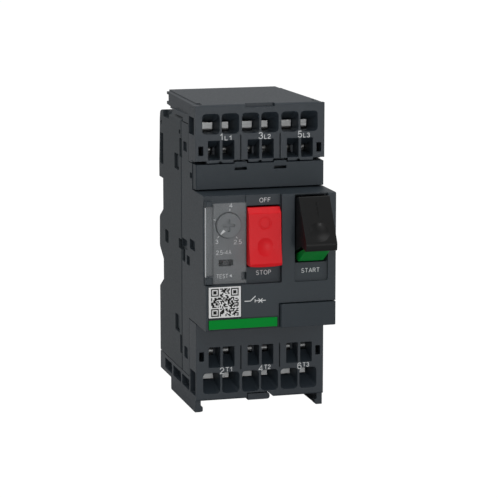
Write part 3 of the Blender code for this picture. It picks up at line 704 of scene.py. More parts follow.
def cuts(*objects):
    return [("cut", o) for o in objects]


def joins(*objects):
    return [("join", o) for o in objects]


counter = [0]


def rb(*args, **kwargs):
    """A rounded box used as a tool of a Boolean."""
    counter[0] += 1
    return rounded_box(f"tool_{counter[0]}", *args, **kwargs)


def cyl(*args, **kwargs):
    counter[0] += 1
    return cylinder(f"tool_{counter[0]}", *args, **kwargs)


def pick_front_uprights(half, depth):
    def pick(edge):
        a, b = edge.verts[0].co / MM, edge.verts[1].co / MM
        return (
            abs(abs(a.x) - half) < 0.05 and abs(a.x - b.x) < 0.01 and abs(a.y + depth) < 0.05
            and abs(b.y + depth) < 0.05 and abs(a.z - b.z) > 0.8
        )

    return pick


def round_picked(obj, radius, segments, pick):
    bm = bmesh.new()
    bm.from_mesh(obj.data)
    edges = [e for e in bm.edges if pick(e)]
    if edges:
        bmesh.ops.bevel(
            bm, geom=edges, offset=radius * MM, offset_type="OFFSET", segments=segments, profile=0.5,
            affect="EDGES", clamp_overlap=True,
        )
    bmesh.ops.recalc_face_normals(bm, faces=bm.faces)
    bm.to_mesh(obj.data)
    bm.free()
    return obj


# ------------------------------------------------------------------ rear housing


def both_sides(make):
    return [make(-1), make(1)]


rear_profile = rounded_outline(
    [
        (0.0, -43.7, 0.5), (32.75, -43.7, 0.3), (32.75, 44.2, 0.3), (12.0, 44.2, 2.0), (4.5, 43.7, 1.0), (1.9, 42.9, 1.6),
        (1.2, 40.0, 1.0), (0.5, 30.0), (0.0, 25.0), (0.0, 19.45, 0.4), (5.7, 19.45, 0.25), (5.7, 8.3, 0.6),
        (0.2, 5.2, 1.6), (0.0, -5.6, 1.6), (5.9, -9.5, 0.6), (5.9, -16.8, 0.3), (0.0, -20.2, 0.8),
    ]
)
def edge_cut(side, z=44.2, d0=15.4, d1=34.0, size=1.1):
    """A tool that chamfers the upper side edge of the rear housing."""
    bm = bmesh.new()
    x = side * HALF
    ring = [(x + side, z + 1), (x + side, z - size), (x, z - size), (x - side * size, z), (x - side * size, z + 1)]
    near = [bm.verts.new(point(a, d0, b)) for a, b in ring]
    far = [bm.verts.new(point(a, d1, b)) for a, b in ring]
    n = len(ring)
    for i in range(n):
        bm.faces.new((near[i], near[(i + 1) % n], far[(i + 1) % n], far[i]))
    bm.faces.new(near)
    bm.faces.new(far[::-1])
    counter[0] += 1
    return mesh_object(f"edge_cut_{counter[0]}", bm)


rear = prism("rear_housing_shell", rear_profile, (-HALF, HALF))
# both side faces are chamfered along the joint with the front housing
steps = []
steps += cuts(*[rb((a, b), (8.0, 34.0), (-41.6, 41.6), 0.8, 1, 3) for a, b in ((-20.9, -7.45), (-6.25, 6.25), (7.45, 20.9))])
steps += cuts(
    *[rb((a, b), (24.0, 34.0), (40.0, 45.0)) for a, b in ((-20.9, -7.45), (-6.25, 6.25), (7.45, 20.9))],
    *[rb((a, b), (28.0, 34.0), (-45.0, -40.0)) for a, b in ((-20.9, -7.45), (-6.25, 6.25), (7.45, 20.9))],
    rb((-9.0, 9.0), (27.0, 34.0), (-4.2, 4.2)),
)
for side in (-1, 1):
    s = side
    steps += cuts(
        # clip windows, with a shallow lead-in around them
        rb((s * 19.0, s * 24.0), (23.0, 29.5), (25.5, 31.0), 0.4, 0, 2),
        rb((s * 19.0, s * 24.0), (23.0, 29.5), (-31.5, -25.5), 0.4, 0, 2),
        # rear slot and small sockets
        rb((s * 20.6, s * 24.0), (1.7, 6.3), (24.3, 35.4), 0.4, 0, 2),
        rb((s * 20.9, s * 24.0), (8.5, 13.5), (-2.8, 1.8), 0.4, 0, 2),
        rb((s * 20.9, s * 24.0), (6.8, 15.2), (41.5, 46.0), 0.3, 0, 2),
        rb((s * 21.4, s * 24.0), (2.7, 4.1), (38.4, 39.8), 0.2, 0, 2),
        edge_cut(s),
        # shallow strips by the joint
        rb((s * 21.9, s * 24.0), (30.4, 34.0), (30.5, 37.0), 0.3, 0, 2),
        rb((s * 21.9, s * 24.0), (30.0, 34.0), (-38.3, -31.8), 0.3, 0, 2),
        rb((s * 21.2, s * 24.0), (29.6, 31.6), (38.2, 39.8), 0.3, 0, 2),
        rb((s * 21.2, s * 24.0), (28.8, 34.0), (-1.5, 2.0), 0.3, 0, 2),
        # long chamfer at the joint
    )
    bm = bmesh.new()
    box_verts(bm, (-0.55, 0.55), (-0.55, 0.55), (-60, 60))
    tool = mesh_object(f"joint_chamfer_{s}", bm)
    tool.matrix_world = Matrix.Translation(point(s * HALF, 32.95, 0)) @ Matrix.Rotation(math.radians(45), 4, "Z")
    steps += cuts(tool)
# rail lips, latch channel, peg
steps += joins(*[rb((x - 3.5, x + 3.5), (0.3, 3.6), (18.2, 20.5), 0.3, 0, 2) for x in (-12.5, 12.5)])
steps += cuts(
    rb((-9.3, 9.3), (2.2, 4.5), (-46.0, -14.0)),
    rb((-7.3, 7.3), (-2.0, 2.4), (-46.0, -14.0), 0.4, 1, 2),
    rb((-9.3, 9.3), (4.0, 7.0), (-16.9, -8.0)),
)
steps += joins(rb((-1.8, 1.8), (1.0, 5.2), (-40.0, -38.0)))
# weight-saving pockets and ejector marks of the back
for x0, x1 in ((-20.2, -14.6), (-13.2, -11.0), (11.0, 13.2), (14.6, 20.2)):
    steps += cuts(rb((x0, x1), (-2.0, 1.4), (-41.5, -23.0), 0.6, 1, 3))
for x0, x1 in ((-20.0, -10.6), (-9.2, -0.7), (0.7, 9.2), (10.6, 20.0)):
    steps += cuts(rb((x0, x1), (-2.0, 1.2), (22.0, 36.5), 0.6, 1, 3))
steps += cuts(
    *[cyl("Y", x, 0.0, 0.0, 2.0, 0.7, 40) for x in (-17.5, 17.5)],
    *[cyl("Y", x, 5.7, 13.8, 1.4, 0.5, 32) for x in (-4.0, 4.0)],
)
boolean_all(rear, steps)
tidy(rear, 0.16)
paint(rear, MAT_REAR)
place(rear, "housing", "rear_housing_plastic", "rear_housing")


# ------------------------------------------------------------------ front housing

START_FLOOR = 65.2
front_profile = rounded_outline(
    [
        (33.05, -43.7, 0.3), (43.0, -43.7), (43.0, -23.4), (M_D, -23.4, 0.5), (M_D, 21.6, 0.55), (48.2, 21.6),
        (48.2, 30.45), (43.0, 30.45), (43.0, 43.0), (33.05, 43.0, 0.3),
    ]
)
front = prism("front_housing_shell", front_profile, (-HALF, HALF))
round_picked(front, 2.0, 8, pick_front_uprights(HALF, M_D))
POCKETS = ((-20.9, -7.45), (-6.25, 6.25), (7.45, 20.9))
steps = cuts(rb((-20.9, 20.9), (32.0, 60.0), (-21.8, 20.0)))
steps += cuts(*[rb((a, b), (32.0, 44.0), (32.4, 45.0)) for a, b in POCKETS])
steps += cuts(*[rb((a, b), (32.0, 44.0), (-45.0, -25.2)) for a, b in POCKETS])
steps += cuts(*[rb((a, b), (32.0, 46.6), (21.6, 29.4)) for a, b in POCKETS])
# front recesses, open at the top edge
steps += cuts(
    rb((-24.0, -8.15), (63.4, 68.0), (-8.1, 24.0), 0.5, 1, 3),
    rb((-8.3, 3.7), (64.0, 68.0), (-8.1, 24.0), 0.5, 1, 3),
    rb((8.2, 19.7), (START_FLOOR, 68.0), (-8.1, 24.0), 0.5, 1, 3),
    rb((8.2, 19.6), (64.0, 68.0), (-1.75, 21.2), 0.3, 1, 2),
    rb((-8.05, 3.5), (59.0, 65.0), (-2.7, 18.0), 0.5, 1, 3),
    rb((8.2, 19.5), (59.0, 65.0), (-1.75, 20.65), 0.4, 1, 3),
    rb((2.7, 24.0), (62.0, 68.0), (-25.0, -15.05), 0.3, 1, 2),
    rb((5.0, 20.0), (59.0, 63.0), (-21.0, -17.0), 0.3, 1, 2),
    rb((-21.8, -10.2), (65.62, 68.0), (-19.2, -8.3), 0.2, 1, 2),
    rb((-21.8, 2.4), (65.62, 68.0), (-23.1, -19.35), 0.2, 1, 2),
    rb((-17.4, -12.4), (59.0, 64.0), (-2.1, 0.1), 0.25, 1, 2),
    rb((-24.0, -19.1), (62.4, 64.0), (-5.5, 18.5)),
    cyl("Y", DIAL_BX[0] / 2 + DIAL_BX[1] / 2, 62.0, sum(DIAL_BZ) / 2, 4.4, 6.0, 64),
)
start_x, start_d, start_z = joint_point("start_press")
stop_x, stop_d, stop_z = joint_point("stop_press")
steps += cuts(
    cyl("X", 14.0, start_d, start_z, 1.1, 14.4, 24),
    cyl("X", -2.25, stop_d, stop_z, 1.1, 14.4, 24),
)
steps += joins(
    rb((-22.3, -20.0), (62.8, 65.6), (18.5, 20.0), 0.35, 2, 3),
    rb((-22.3, -20.0), (62.8, 65.6), (-7.7, -5.5), 0.35, 2, 3),
)
steps += cuts(cyl("Z", -20.7, 64.8, 6.5, 0.7, 26.4, 20))
for s in (-1, 1):
    steps += cuts(
        rb((s * 21.3, s * 24.0), (44.5, 51.8), (1.0, 4.5), 0.3, 0, 2),
        rb((s * 21.3, s * 24.0), (33.6, 41.0), (-0.3, 3.0), 0.3, 0, 2),
        rb((s * 20.9, s * 24.0), (40.0, 44.3), (-5.2, -2.0), 0.3, 0, 2),
        rb((s * 21.3, s * 24.0), (32.6, 38.0), (-5.0, -0.1), 0.3, 0, 2),
        rb((s * 21.7, s * 24.0), (36.0, 41.0), (33.3, 36.6), 0.3, 0, 2),
        rb((s * 21.7, s * 24.0), (36.0, 41.0), (-38.5, -34.5), 0.3, 0, 2),
        rb((s * 21.6, s * 24.0), (45.0, 47.9), (25.2, 27.2), 0.3, 0, 2),
        rb((s * 21.9, s * 24.0), (32.0, 34.4), (30.5, 37.0), 0.3, 0, 2),
    )
    bm = bmesh.new()
    box_verts(bm, (-0.55, 0.55), (-0.55, 0.55), (-60, 60))
    tool = mesh_object(f"joint_chamfer_front_{s}", bm)
    tool.matrix_world = Matrix.Translation(point(s * HALF, 32.85, 0)) @ Matrix.Rotation(math.radians(45), 4, "Z")
    steps += cuts(tool)
    for z0, z1 in ((26.2, 30.3), (-30.8, -26.2)):
        steps += joins(
            rb((s * 19.0, s * 22.0), (33.05, 36.0), (z0, z1)),
            rb((s * 19.0, s * 20.5), (24.0, 34.5), (z0, z1)),
            rb((s * 20.0, s * 21.7), (24.0, 26.5), (z0, z1)),
        )
# bearing cheeks
steps += joins(rb((5.6, 7.0), (40.5, 61.0), (6.0, 20.8)), rb((15.4, 16.8), (40.5, 50.0), (9.0, 20.8)))
lever_x, lever_d, lever_z = joint_point("lever_turn")
steps += cuts(cyl("X", 11.2, lever_d, lever_z, 1.1, 10.4, 24))
# finger notch of the clear cover's latch
steps += cuts(rb((-9.6, -8.0), (62.6, 66.0), (-7.0, -4.3), 0.2, 1, 2))
boolean_all(front, steps)
tidy(front, 0.16)
paint(front, MAT_FRONT)
place(front, "housing", "front_housing_plastic", "front_housing")


# ------------------------------------------------------------------ terminal blocks


CLAMP_A, CLAMP_B = node_box("upper_clamp_2a")[0], node_box("upper_clamp_2b")[0]  # the middle pole stands at x = 0
FUNNEL_DEPTH = 46.8


def funnel(front_x, front_z, rear_x, rear_z, radius, segments=4, rear=FUNNEL_DEPTH):
    """A mouth on the terminal front that narrows to the rear, with rounded corners. It reaches 1.5 mm in front of the face."""
    bm = bmesh.new()
    rings = []
    for depth, xs, zs in ((rear, rear_x, rear_z), (T_D, front_x, front_z), (T_D + 1.5, front_x, front_z)):
        scale = 0.55 if depth == rear else 1.0
        r = radius * scale
        ring = []
        for cx, cz, start in (
            (xs[1] - r, zs[1] - r, 0), (xs[0] + r, zs[1] - r, 90), (xs[0] + r, zs[0] + r, 180), (xs[1] - r, zs[0] + r, 270),
        ):
            for k in range(segments + 1):
                t = math.radians(start + 90 * k / segments)
                ring.append(bm.verts.new(point(cx + math.cos(t) * r, depth, cz + math.sin(t) * r)))
        rings.append(ring)
    n = len(rings[0])
    for lower, upper_ring in zip(rings, rings[1:]):
        for i in range(n):
            bm.faces.new((lower[i], lower[(i + 1) % n], upper_ring[(i + 1) % n], upper_ring[i]))
    bm.faces.new(rings[0])
    bm.faces.new(rings[-1][::-1])
    counter[0] += 1
    return mesh_object(f"funnel_{counter[0]}", bm)


def terminal_cuts(sign):
    """Wire mouths, release mouths, pole grooves and corner slots. sign is 1 for the upper block and -1 for the lower one."""
    tools = []

    def zs(a, b):
        return tuple(sorted((sign * a, sign * b)))

    for p in POLES:
        wire_out = 47.5 if sign > 0 else 48.2
        wire_in = 40.6 if sign > 0 else 40.9
        release = (31.9, 38.5) if sign > 0 else (32.0, 39.1)
        for front_x, rear_x in (((-6.35, -0.35), (-5.5, -1.35)), ((0.35, 6.4), (0.4, 4.15))):
            tools.append(
                funnel(
                    (p + front_x[0], p + front_x[1]), zs(wire_in, wire_out), (p + rear_x[0], p + rear_x[1]),
                    zs(wire_in + 0.35, 44.45), 1.25,
                )
            )
        for front_x, rear_x in (((-4.4, -0.3), (-4.25, -0.55)), ((0.6, 4.7), (0.75, 4.15))):
            tools.append(
                funnel(
                    (p + front_x[0], p + front_x[1]), zs(*release), (p + rear_x[0], p + rear_x[1]),
                    zs(33.0, 35.4), 0.3, 2,
                )
            )
        # room for the clamps behind the mouths
        for xs in (CLAMP_A, CLAMP_B):
            tools.append(rb((p + xs[0] - 0.15, p + xs[1] + 0.15), (39.8, 47.3), zs(32.9, 44.45)))
    for x in (-6.8, 6.9):
        tools.append(rb((x - 0.2, x + 0.2), (T_D - 0.8, 54.0), zs(31.9, 40.2), 0.0))
    for s in (-1, 1):
        tools.append(rb(tuple(sorted((s * 19.7, s * 21.4))), (46.5, 54.0), zs(33.5, 36.7), 0.2, 1, 2))
    return tools


def tapered_prism(name, corners, zs):
    """A flat (x, depth) outline raised from zs[0] to zs[1]."""
    bm = bmesh.new()
    low = [bm.verts.new(point(x, d, zs[0])) for x, d in corners]
    face = bm.faces.new(low)
    made = bmesh.ops.extrude_face_region(bm, geom=[face])
    moved = [g for g in made["geom"] if isinstance(g, bmesh.types.BMVert)]
    bmesh.ops.translate(bm, verts=moved, vec=Vector((0, 0, (zs[1] - zs[0]) * MM)))
    return mesh_object(name, bm)


upper_profile = rounded_outline(
    [
        (43.3, 30.75), (T_D, 30.75, 0.3), (T_D, 50.5, 0.75), (50.6, 50.5, 0.2), (50.6, 49.0), (43.3, 49.0),
    ],
    segments=5,
)
upper = prism("upper_terminal_block_shell", upper_profile, (-HALF, HALF))
round_picked(upper, 0.9, 6, pick_front_uprights(HALF, T_D))
# the cap narrows a little towards the rear: shoulders a step below the top plate
steps = joins(
    tapered_prism("cap", [(-20.9, 8.1), (20.9, 8.1), (22.35, 51.5), (-22.35, 51.5)], (45.6, 50.15)),
    tapered_prism("top_plate", [(-19.4, 3.0), (19.4, 3.0), (20.6, 50.9), (-20.6, 50.9)], (46.0, 50.5)),
    rb((-HALF, HALF), (21.0, 44.0), (44.5, 46.0), 0.15, 1, 2),
    rb((-HALF, HALF), (35.5, 43.9), (43.3, 46.1), 0.15, 1, 2),
    rb((-20.3, 20.3), (8.3, 44.5), (44.6, 46.9)),
)
steps += cuts(rb((-19.0, 19.0), (11.0, 38.0), (43.0, 48.9)))
steps += cuts(*terminal_cuts(1))
for s in (-1, 1):
    steps += cuts(
        # open pocket behind the front plate's side
        rb((s * 20.35, s * 24.0), (43.9, 50.9), (40.2, 46.1)),
        # the plate's edge stops short of the front lip
        rb((s * 19.4, s * 24.0), (46.4, 50.5), (50.1, 52.0)),
        rb((s * 20.5, s * 24.0), (50.0, 54.0), (50.2, 52.0)),
        rb((s * 18.5, s * 24.0), (47.5, 54.0), (30.0, 31.65), 0.25, 1, 2),
    )
steps += cuts(
    rb((-5.1, 5.1), (50.5, 54.0), (49.3, 52.0), 0.3, 1, 2),
    *[rb((p - 0.6, p + 0.6), (50.8, 54.0), (30.0, 31.45), 0.4, 1, 3) for p in (-13.85, -0.1, 13.3)],
    rb((-9.3, -4.1), (49.0, 54.0), (30.0, 31.75), 0.15, 1, 2),
    rb((4.4, 9.6), (49.0, 54.0), (30.0, 31.75), 0.15, 1, 2),
)
# small lugs at the rear ends of the shoulders
steps += joins(
    *[tapered_prism(f"lug_{s}_{z}", [(s * 20.85, 5.4), (s * 19.5, 5.4), (s * 19.5, 9.5), (s * 20.95, 9.5)], (z, z + h))
      for s in (-1, 1) for z, h in ((49.25, 0.9), (45.7, 1.1))],
)
boolean_all(upper, steps)
tidy(upper, 0.15)
paint(upper, MAT_TERM)
place(upper, "housing", "terminal_block_plastic", "upper_terminal_block")

lower_profile = rounded_outline([(43.3, -50.5), (T_D, -50.5, 0.6), (T_D, -23.75, 0.3), (43.3, -23.75)])
lower = prism("lower_terminal_block_shell", lower_profile, (-HALF, HALF))
round_picked(lower, 1.2, 6, pick_front_uprights(HALF, T_D))
steps = joins(
    rb((-HALF, HALF), (0.0, 44.0), (-50.4, -44.0), 0.4, 0, 2),
    rb((-HALF, -20.6), (16.0, 51.3), (-54.7, -49.5), 0.5, 0, 3),
    rb((20.6, HALF), (16.0, 51.3), (-54.7, -49.5), 0.5, 0, 3),
    rb((-21.2, -19.9), (48.6, 51.3), (-54.5, -52.6), 0.5, 1, 3),
    rb((19.9, 21.2), (48.6, 51.3), (-54.5, -52.6), 0.5, 1, 3),
)
steps += cuts(rb((-19.6, 19.6), (5.6, 38.0), (-48.9, -42.0)))
steps += cuts(*terminal_cuts(-1))
for s in (-1, 1):
    steps += cuts(
        rb((s * 20.6, s * 24.0), (44.3, 51.6), (-49.0, -40.7), 0.3, 0, 2),
        *[rb((s * 20.4, s * 24.0), d, (-49.0, -45.2), 0.3, 0, 2) for d in ((7.2, 17.5), (19.5, 31.0), (32.5, 42.8))],
    )
# recess for the lower clip: slanted to the right, open below and behind, and the clip in it
bm = bmesh.new()
outline = [(-4.55, -52.0), (-4.55, -48.6), (2.6, -48.6), (4.9, -50.6), (5.6, -52.0)]
base = [bm.verts.new(point(x, 49.6, z)) for x, z in outline]
made = bmesh.ops.extrude_face_region(bm, geom=[bm.faces.new(base)])
bmesh.ops.translate(
    bm, verts=[g for g in made["geom"] if isinstance(g, bmesh.types.BMVert)], vec=Vector((0, -5.0 * MM, 0))
)
steps += cuts(
    mesh_object("clip_recess", bm), rb((-5.0, 9.0), (41.0, 51.35), (-52.0, -49.0)),
    rb((-9.6, 9.6), (-2.0, 4.7), (-52.0, -43.0)),
)
steps += joins(
    rb((-4.05, 3.7), (49.0, 51.5), (-51.4, -49.2), 0.9, 1, 4), rb((-4.05, 1.0), (49.0, 51.5), (-51.4, -49.2)),
    rb((-3.6, 2.4), (48.3, 49.4), (-50.4, -48.2)),
)
boolean_all(lower, steps)
tidy(lower, 0.15)
paint(lower, MAT_TERM)
place(lower, "housing", "terminal_block_plastic", "lower_terminal_block")


# ------------------------------------------------------------------ marking strip and blanking cover

strip = rounded_box("marking_strip_shell", STRIP_X, STRIP_D, STRIP_Z)
round_picked(strip, 0.45, 4, pick_front_uprights(STRIP_X[1], STRIP_D[1]))
boolean_all(strip, cuts(rb((-20.8, 20.8), (48.0, 51.2), (23.5, 29.1))))
tidy(strip, 0.15)
strip.modifiers.clear()
steps = []
for x0, x1 in ((-8.9, -4.7), (4.8, 9.1)):
    steps += cuts(rb((x0, x1), (47.0, 54.0), (28.3, 29.3)))
    steps += joins(rb((x0 - 0.05, x1 + 0.05), (51.6, STRIP_D[1] - 0.05), (29.2, 31.1), 0.12, 0, 2))
boolean_all(strip, steps)
shade(strip)
paint(strip, MAT_STRIP)
place(strip, "housing", "marking_strip_plastic", "marking_strip")

blank_x, blank_d, blank_z = node_box("blank_cover")
blank = rounded_box("blank_cover_shell", blank_x, blank_d, blank_z, 0.6, 2, 4)
boolean_all(
    blank,
    cuts(
        rb((blank_x[0] + 1.2, blank_x[1] - 1.2), (blank_d[0] - 1, blank_d[1] - 1.4), (blank_z[0] + 1.2, blank_z[1] - 1.2)),
        rb((blank_x[0] - 1, blank_x[0] + 0.25), (blank_d[1] - 0.8, blank_d[1] + 1), (blank_z[0] - 1, blank_z[1] + 1)),
    ),
)
tidy(blank, 0.25, 3)
paint(blank, MAT_BLANK)
place(blank, "housing", "front_housing_plastic", "blank_cover")


# ------------------------------------------------------------------ START button


def dish(obj, centre, normal, radius, depth, up=(0, 0, 1)):
    """A shallow round finger dimple: a cut by a sphere."""
    sphere_r = (radius * radius + depth * depth) / (2 * depth)
    bm = bmesh.new()
    at = centre + normal.normalized() * (sphere_r - depth) * MM
    bmesh.ops.create_uvsphere(bm, u_segments=96, v_segments=64, radius=sphere_r * MM, matrix=Matrix.Translation(at) @ normal.to_track_quat("Z", "Y").to_matrix().to_4x4())
    return mesh_object(obj + "_dish", bm)


START_TOP, START_NOSE = (69.3, 21.15), (78.4, 6.6)
start_outline = rounded_outline(
    [
        (*START_TOP, 0.6), (*START_NOSE, 2.0), (78.1, 3.9, 0.8), (72.6, 5.0, 0.3), (62.5, 1.0), (60.5, 1.2, 0.5),
        (55.5, 3.0, 0.5), (55.0, 5.4, 0.5), (57.0, 8.0, 0.5), (58.6, 15.6, 0.5), (61.6, 18.8, 1.0), (63.2, 20.3, 0.5), (65.6, 20.45),
    ],
    segments=6,
)
SX = node_box("start_button")[0]
start = prism("start_button_cap", start_outline, SX)
face_dir = Vector((0, START_TOP[0] - START_NOSE[0], START_NOSE[1] - START_TOP[1])).normalized()  # down the sloping face
face_normal = Vector((0, -1, 0)).cross(Vector((1, 0, 0)))
face_normal = Vector((0, face_dir.z, -face_dir.y))
if face_normal.y > 0:
    face_normal = -face_normal


def on_start_face(x, t, lift=0.0):
    """A point t of the way down the sloping face, lifted off it by lift millimetres."""
    base = point(x, *(a + (b - a) * t for a, b in zip(START_TOP, START_NOSE)))
    return base + face_normal * lift * MM


steps = cuts(cyl("X", start_x, start_d, start_z, 0.86, 14.0, 32))
steps += cuts(dish("start", on_start_face(13.65, 0.75), face_normal, 3.5, 1.05))
groove_bm = bmesh.new()
box_verts(groove_bm, (-0.22, 0.22), (-0.5, 0.5), (-2.4, 2.4))
groove = mesh_object("start_mark", groove_bm)
turn = Matrix(
    (
        (1, -face_normal.x, -face_dir.x, 0), (0, -face_normal.y, -face_dir.y, 0), (0, -face_normal.z, -face_dir.z, 0),
        (0, 0, 0, 1),
    )
)
groove.matrix_world = Matrix.Translation(on_start_face(14.05, 0.28, 0.3)) @ turn
steps += cuts(groove)
boolean_all(start, steps)
tidy(start, 0.45, 3, 40.0)
paint(start, MAT_BLACK)
place(start, "start_button", "start_button_plastic", "start_button")

insert_outline = rounded_outline(
    [(73.4, 4.4), (73.5, 3.4, 0.3), (66.0, -1.2, 0.3), (62.8, -1.0, 0.2), (62.8, 0.7), (66.0, 2.0)], segments=3
)
insert = prism("start_insert_cap", insert_outline, node_box("start_insert")[0])
tidy(insert, 0.12)
paint(insert, MAT_GREEN)
place(insert, "start_button", "start_insert_plastic", "start_insert")


# ------------------------------------------------------------------ STOP button

stop_outline = rounded_outline(
    [
        (64.6, 17.4, 0.2), (66.4, 15.6, 0.5), (66.6, 10.0), (67.0, 4.0), (67.9, -1.2, 0.9), (67.2, -2.4, 0.5),
        (59.4, -2.2, 0.5), (58.2, 0.0, 0.5), (58.2, 15.0, 0.5), (60.2, 17.1, 0.5), (62.0, 17.4, 0.3),
    ],
    segments=5,
)
RX = node_box("stop_button")[0]
stop = prism("stop_button_cap", stop_outline, RX)
stop_mid = sum(RX) / 2
steps = cuts(cyl("X", stop_x, stop_d, stop_z, 0.86, 14.0, 32))
steps += cuts(dish("stop", point(stop_mid, 67.0, 4.6), Vector((0, -1, 0.08)), 2.9, 0.45))
bow = rb((RX[0] - 1.0, RX[1] + 1.0), (57.0, 70.0), (-4.0, 2.0))
boolean_all(bow, cuts(cyl("Y", stop_mid, 63.5, -2.4 + 32.6, 32.6, 20.0, 256)))
steps += cuts(bow)
ring_bm = bmesh.new()
bmesh.ops.create_cone(
    ring_bm, cap_ends=True, segments=48, radius1=2.1 * MM, radius2=2.1 * MM, depth=1.0 * MM,
    matrix=Matrix.Translation(point(stop_mid, 66.85, 12.3)) @ Matrix.Rotation(math.radians(90), 4, "X"),
)
ring = mesh_object("ring_outer", ring_bm)
boolean_all(ring, cuts(cyl("Y", stop_mid, 67.0, 12.3, 1.55, 3.0, 48)))
steps += cuts(ring)
boolean_all(stop, steps)
tidy(stop, 0.3, 3, 40.0)
paint(stop, MAT_RED)
place(stop, "stop_button", "stop_button_plastic", "stop_button")


# ------------------------------------------------------------------ setting dial

dial_cx, dial_cz = sum(DIAL_BX) / 2, sum(DIAL_BZ) / 2
dial_r = (DIAL_BX[1] - DIAL_BX[0]) / 2
dial = cylinder("setting_dial_knob", "Y", dial_cx, sum(DIAL_BD) / 2, dial_cz, dial_r, DIAL_BD[1] - DIAL_BD[0], 96)
steps = cuts(
    rb((dial_cx - 0.42, dial_cx + 0.42), (DIAL_BD[1] - 0.7, 67.0), (dial_cz - 2.0, dial_cz + 2.0), 0.15, 1, 2),
    rb((dial_cx - 2.0, dial_cx + 2.0), (DIAL_BD[1] - 0.7, 67.0), (dial_cz - 0.42, dial_cz + 0.42), 0.15, 1, 2),
)
boolean_all(dial, steps)
tidy(dial, 0.25, 3, 40.0)
paint(dial, MAT_DIAL)
place(dial, "setting_dial", "dial_plastic", "setting_dial")


def compass(angle, radius):
    """x, z of a point at a clockwise angle from the top of the dial."""
    a = math.radians(angle)
    return dial_cx + math.sin(a) * radius, dial_cz + math.cos(a) * radius


def bar(name, start_xz, end_xz, depth, width, body="housing", mat=None, thick=0.03, slot="label_paper"):
    """A straight printed line on a front-facing surface."""
    a, b = Vector(start_xz), Vector(end_xz)
    d = (b - a).normalized()
    n = Vector((-d.y, d.x)) * width / 2
    bm = bmesh.new()
    corners = [a + n, a - n, b - n, b + n]
    base = [bm.verts.new(point(c.x, depth, c.y)) for c in corners]
    face = bm.faces.new(base)
    made = bmesh.ops.extrude_face_region(bm, geom=[face])
    moved = [g for g in made["geom"] if isinstance(g, bmesh.types.BMVert)]
    bmesh.ops.translate(bm, verts=moved, vec=Vector((0, -thick * MM, 0)))
    made = mesh_object(name, bm)
    paint(made, mat or MAT_INK)
    if body:
        place(made, body, slot)
    return made


# pointer: a thin wedge that points outwards
tip = Vector(compass(226.0, 4.05))
for_tail = Vector(compass(226.0, 2.2))
across = (tip - for_tail).normalized()
across = Vector((-across.y, across.x))
bm = bmesh.new()
base = [
    bm.verts.new(point(c.x, DIAL_BD[1] + 0.005, c.y))
    for c in (for_tail + across * 0.5, for_tail - across * 0.5, tip - across * 0.18, tip + across * 0.18)
]
face = bm.faces.new(base)
made = bmesh.ops.extrude_face_region(bm, geom=[face])
bmesh.ops.translate(
    bm, verts=[g for g in made["geom"] if isinstance(g, bmesh.types.BMVert)], vec=Vector((0, -0.05 * MM, 0))
)
pointer = mesh_object("dial_pointer", bm)
paint(pointer, MAT_INK)
place(pointer, "setting_dial", "label_paper")


# ------------------------------------------------------------------ clear cover

hinge_x, hinge_d, _ = joint_point("cover_open")
cover = rounded_box("clear_cover_shell", (-19.4, -8.5), (64.85, 65.85), (-7.5, 19.5), 0.35, 1, 3)
steps = joins(
    rb((-22.35, -18.8), (64.85, 65.85), (-5.2, 18.2), 0.3, 2, 3),
    cyl("Z", hinge_x, hinge_d, 6.5, 0.95, 23.2, 32),
    cyl("Z", hinge_x, hinge_d, 6.5, 0.42, 25.9, 24),
)
steps += cuts(
    rb((-19.2, -9.0), (64.0, 65.3), (-7.1, 19.1), 0.3, 1, 3),
    rb((-9.5, -8.0), (64.0, 66.5), (-6.4, -3.9), 0.3, 1, 2),
)
boolean_all(cover, steps)
tidy(cover, 0.14)
paint(cover, MAT_CLEAR)
# a thin near-white strip on the cover's left side: a painted highlight where the clear cover's edge catches the light
edge = rounded_box("clear_cover_edge", (-22.48, -22.3), (64.9, 65.8), (-5.1, 18.1), 0.06, 2, 2)
shade(edge)
paint(edge, MAT_COVER_EDGE_HIGHLIGHT)
place(edge, "clear_cover", "clear_cover_plastic")
place(cover, "clear_cover", "clear_cover_plastic", "clear_cover")


# ------------------------------------------------------------------ labels and printing

label_x, label_d, label_z = node_box("code_label")
rng = random.Random(31)
COUNT = 25


def finder(i, j):
    """Corner squares of the pattern: 1 dark, 0 light, None elsewhere."""
    for ci, cj in ((0, 0), (COUNT - 7, 0), (0, COUNT - 7)):
        a, b = i - ci, j - cj
        if -1 <= a <= 7 and -1 <= b <= 7:
            if not (0 <= a <= 6 and 0 <= b <= 6):
                return 0
            edge = a in (0, 6) or b in (0, 6)
            core = 2 <= a <= 4 and 2 <= b <= 4
            return 1 if edge or core else 0
    return None


label = rounded_box("code_label_print", label_x, label_d, label_z, 0.15, 1, 2)
shade(label)
paint(label, MAT_LABEL)
place(label, "housing", "label_paper", "code_label")

side_mm = min(label_x[1] - label_x[0], label_z[1] - label_z[0]) - 0.9
cell = side_mm / COUNT
origin_x = sum(label_x) / 2 - side_mm / 2
origin_z = sum(label_z) / 2 + side_mm / 2
grid = [[finder(i, j) for i in range(COUNT)] for j in range(COUNT)]
for row in grid:
    for i in range(COUNT):
        if row[i] is None:
            row[i] = 1 if rng.random() < 0.54 else 0
bm = bmesh.new()
for j, row in enumerate(grid):
    i = 0
    while i < COUNT:
        run = i
        while run < COUNT and row[run]:
            run += 1
        if run > i:
            box_verts(
                bm, (origin_x + i * cell, origin_x + run * cell), (label_d[1] - 0.02, label_d[1] + 0.02),
                (origin_z - (j + 1) * cell - 0.002, origin_z - j * cell + 0.002),
            )
        i = run + 1
modules = mesh_object("code_label_modules", bm)
paint(modules, MAT_MODULE)
place(modules, "housing", "label_paper")

band_x, band_d, band_z = node_box("green_label")
band = rounded_box("green_label_print", band_x, band_d, band_z, 0.15, 1, 2)
shade(band)
paint(band, MAT_BAND)
place(band, "housing", "label_green", "green_label")

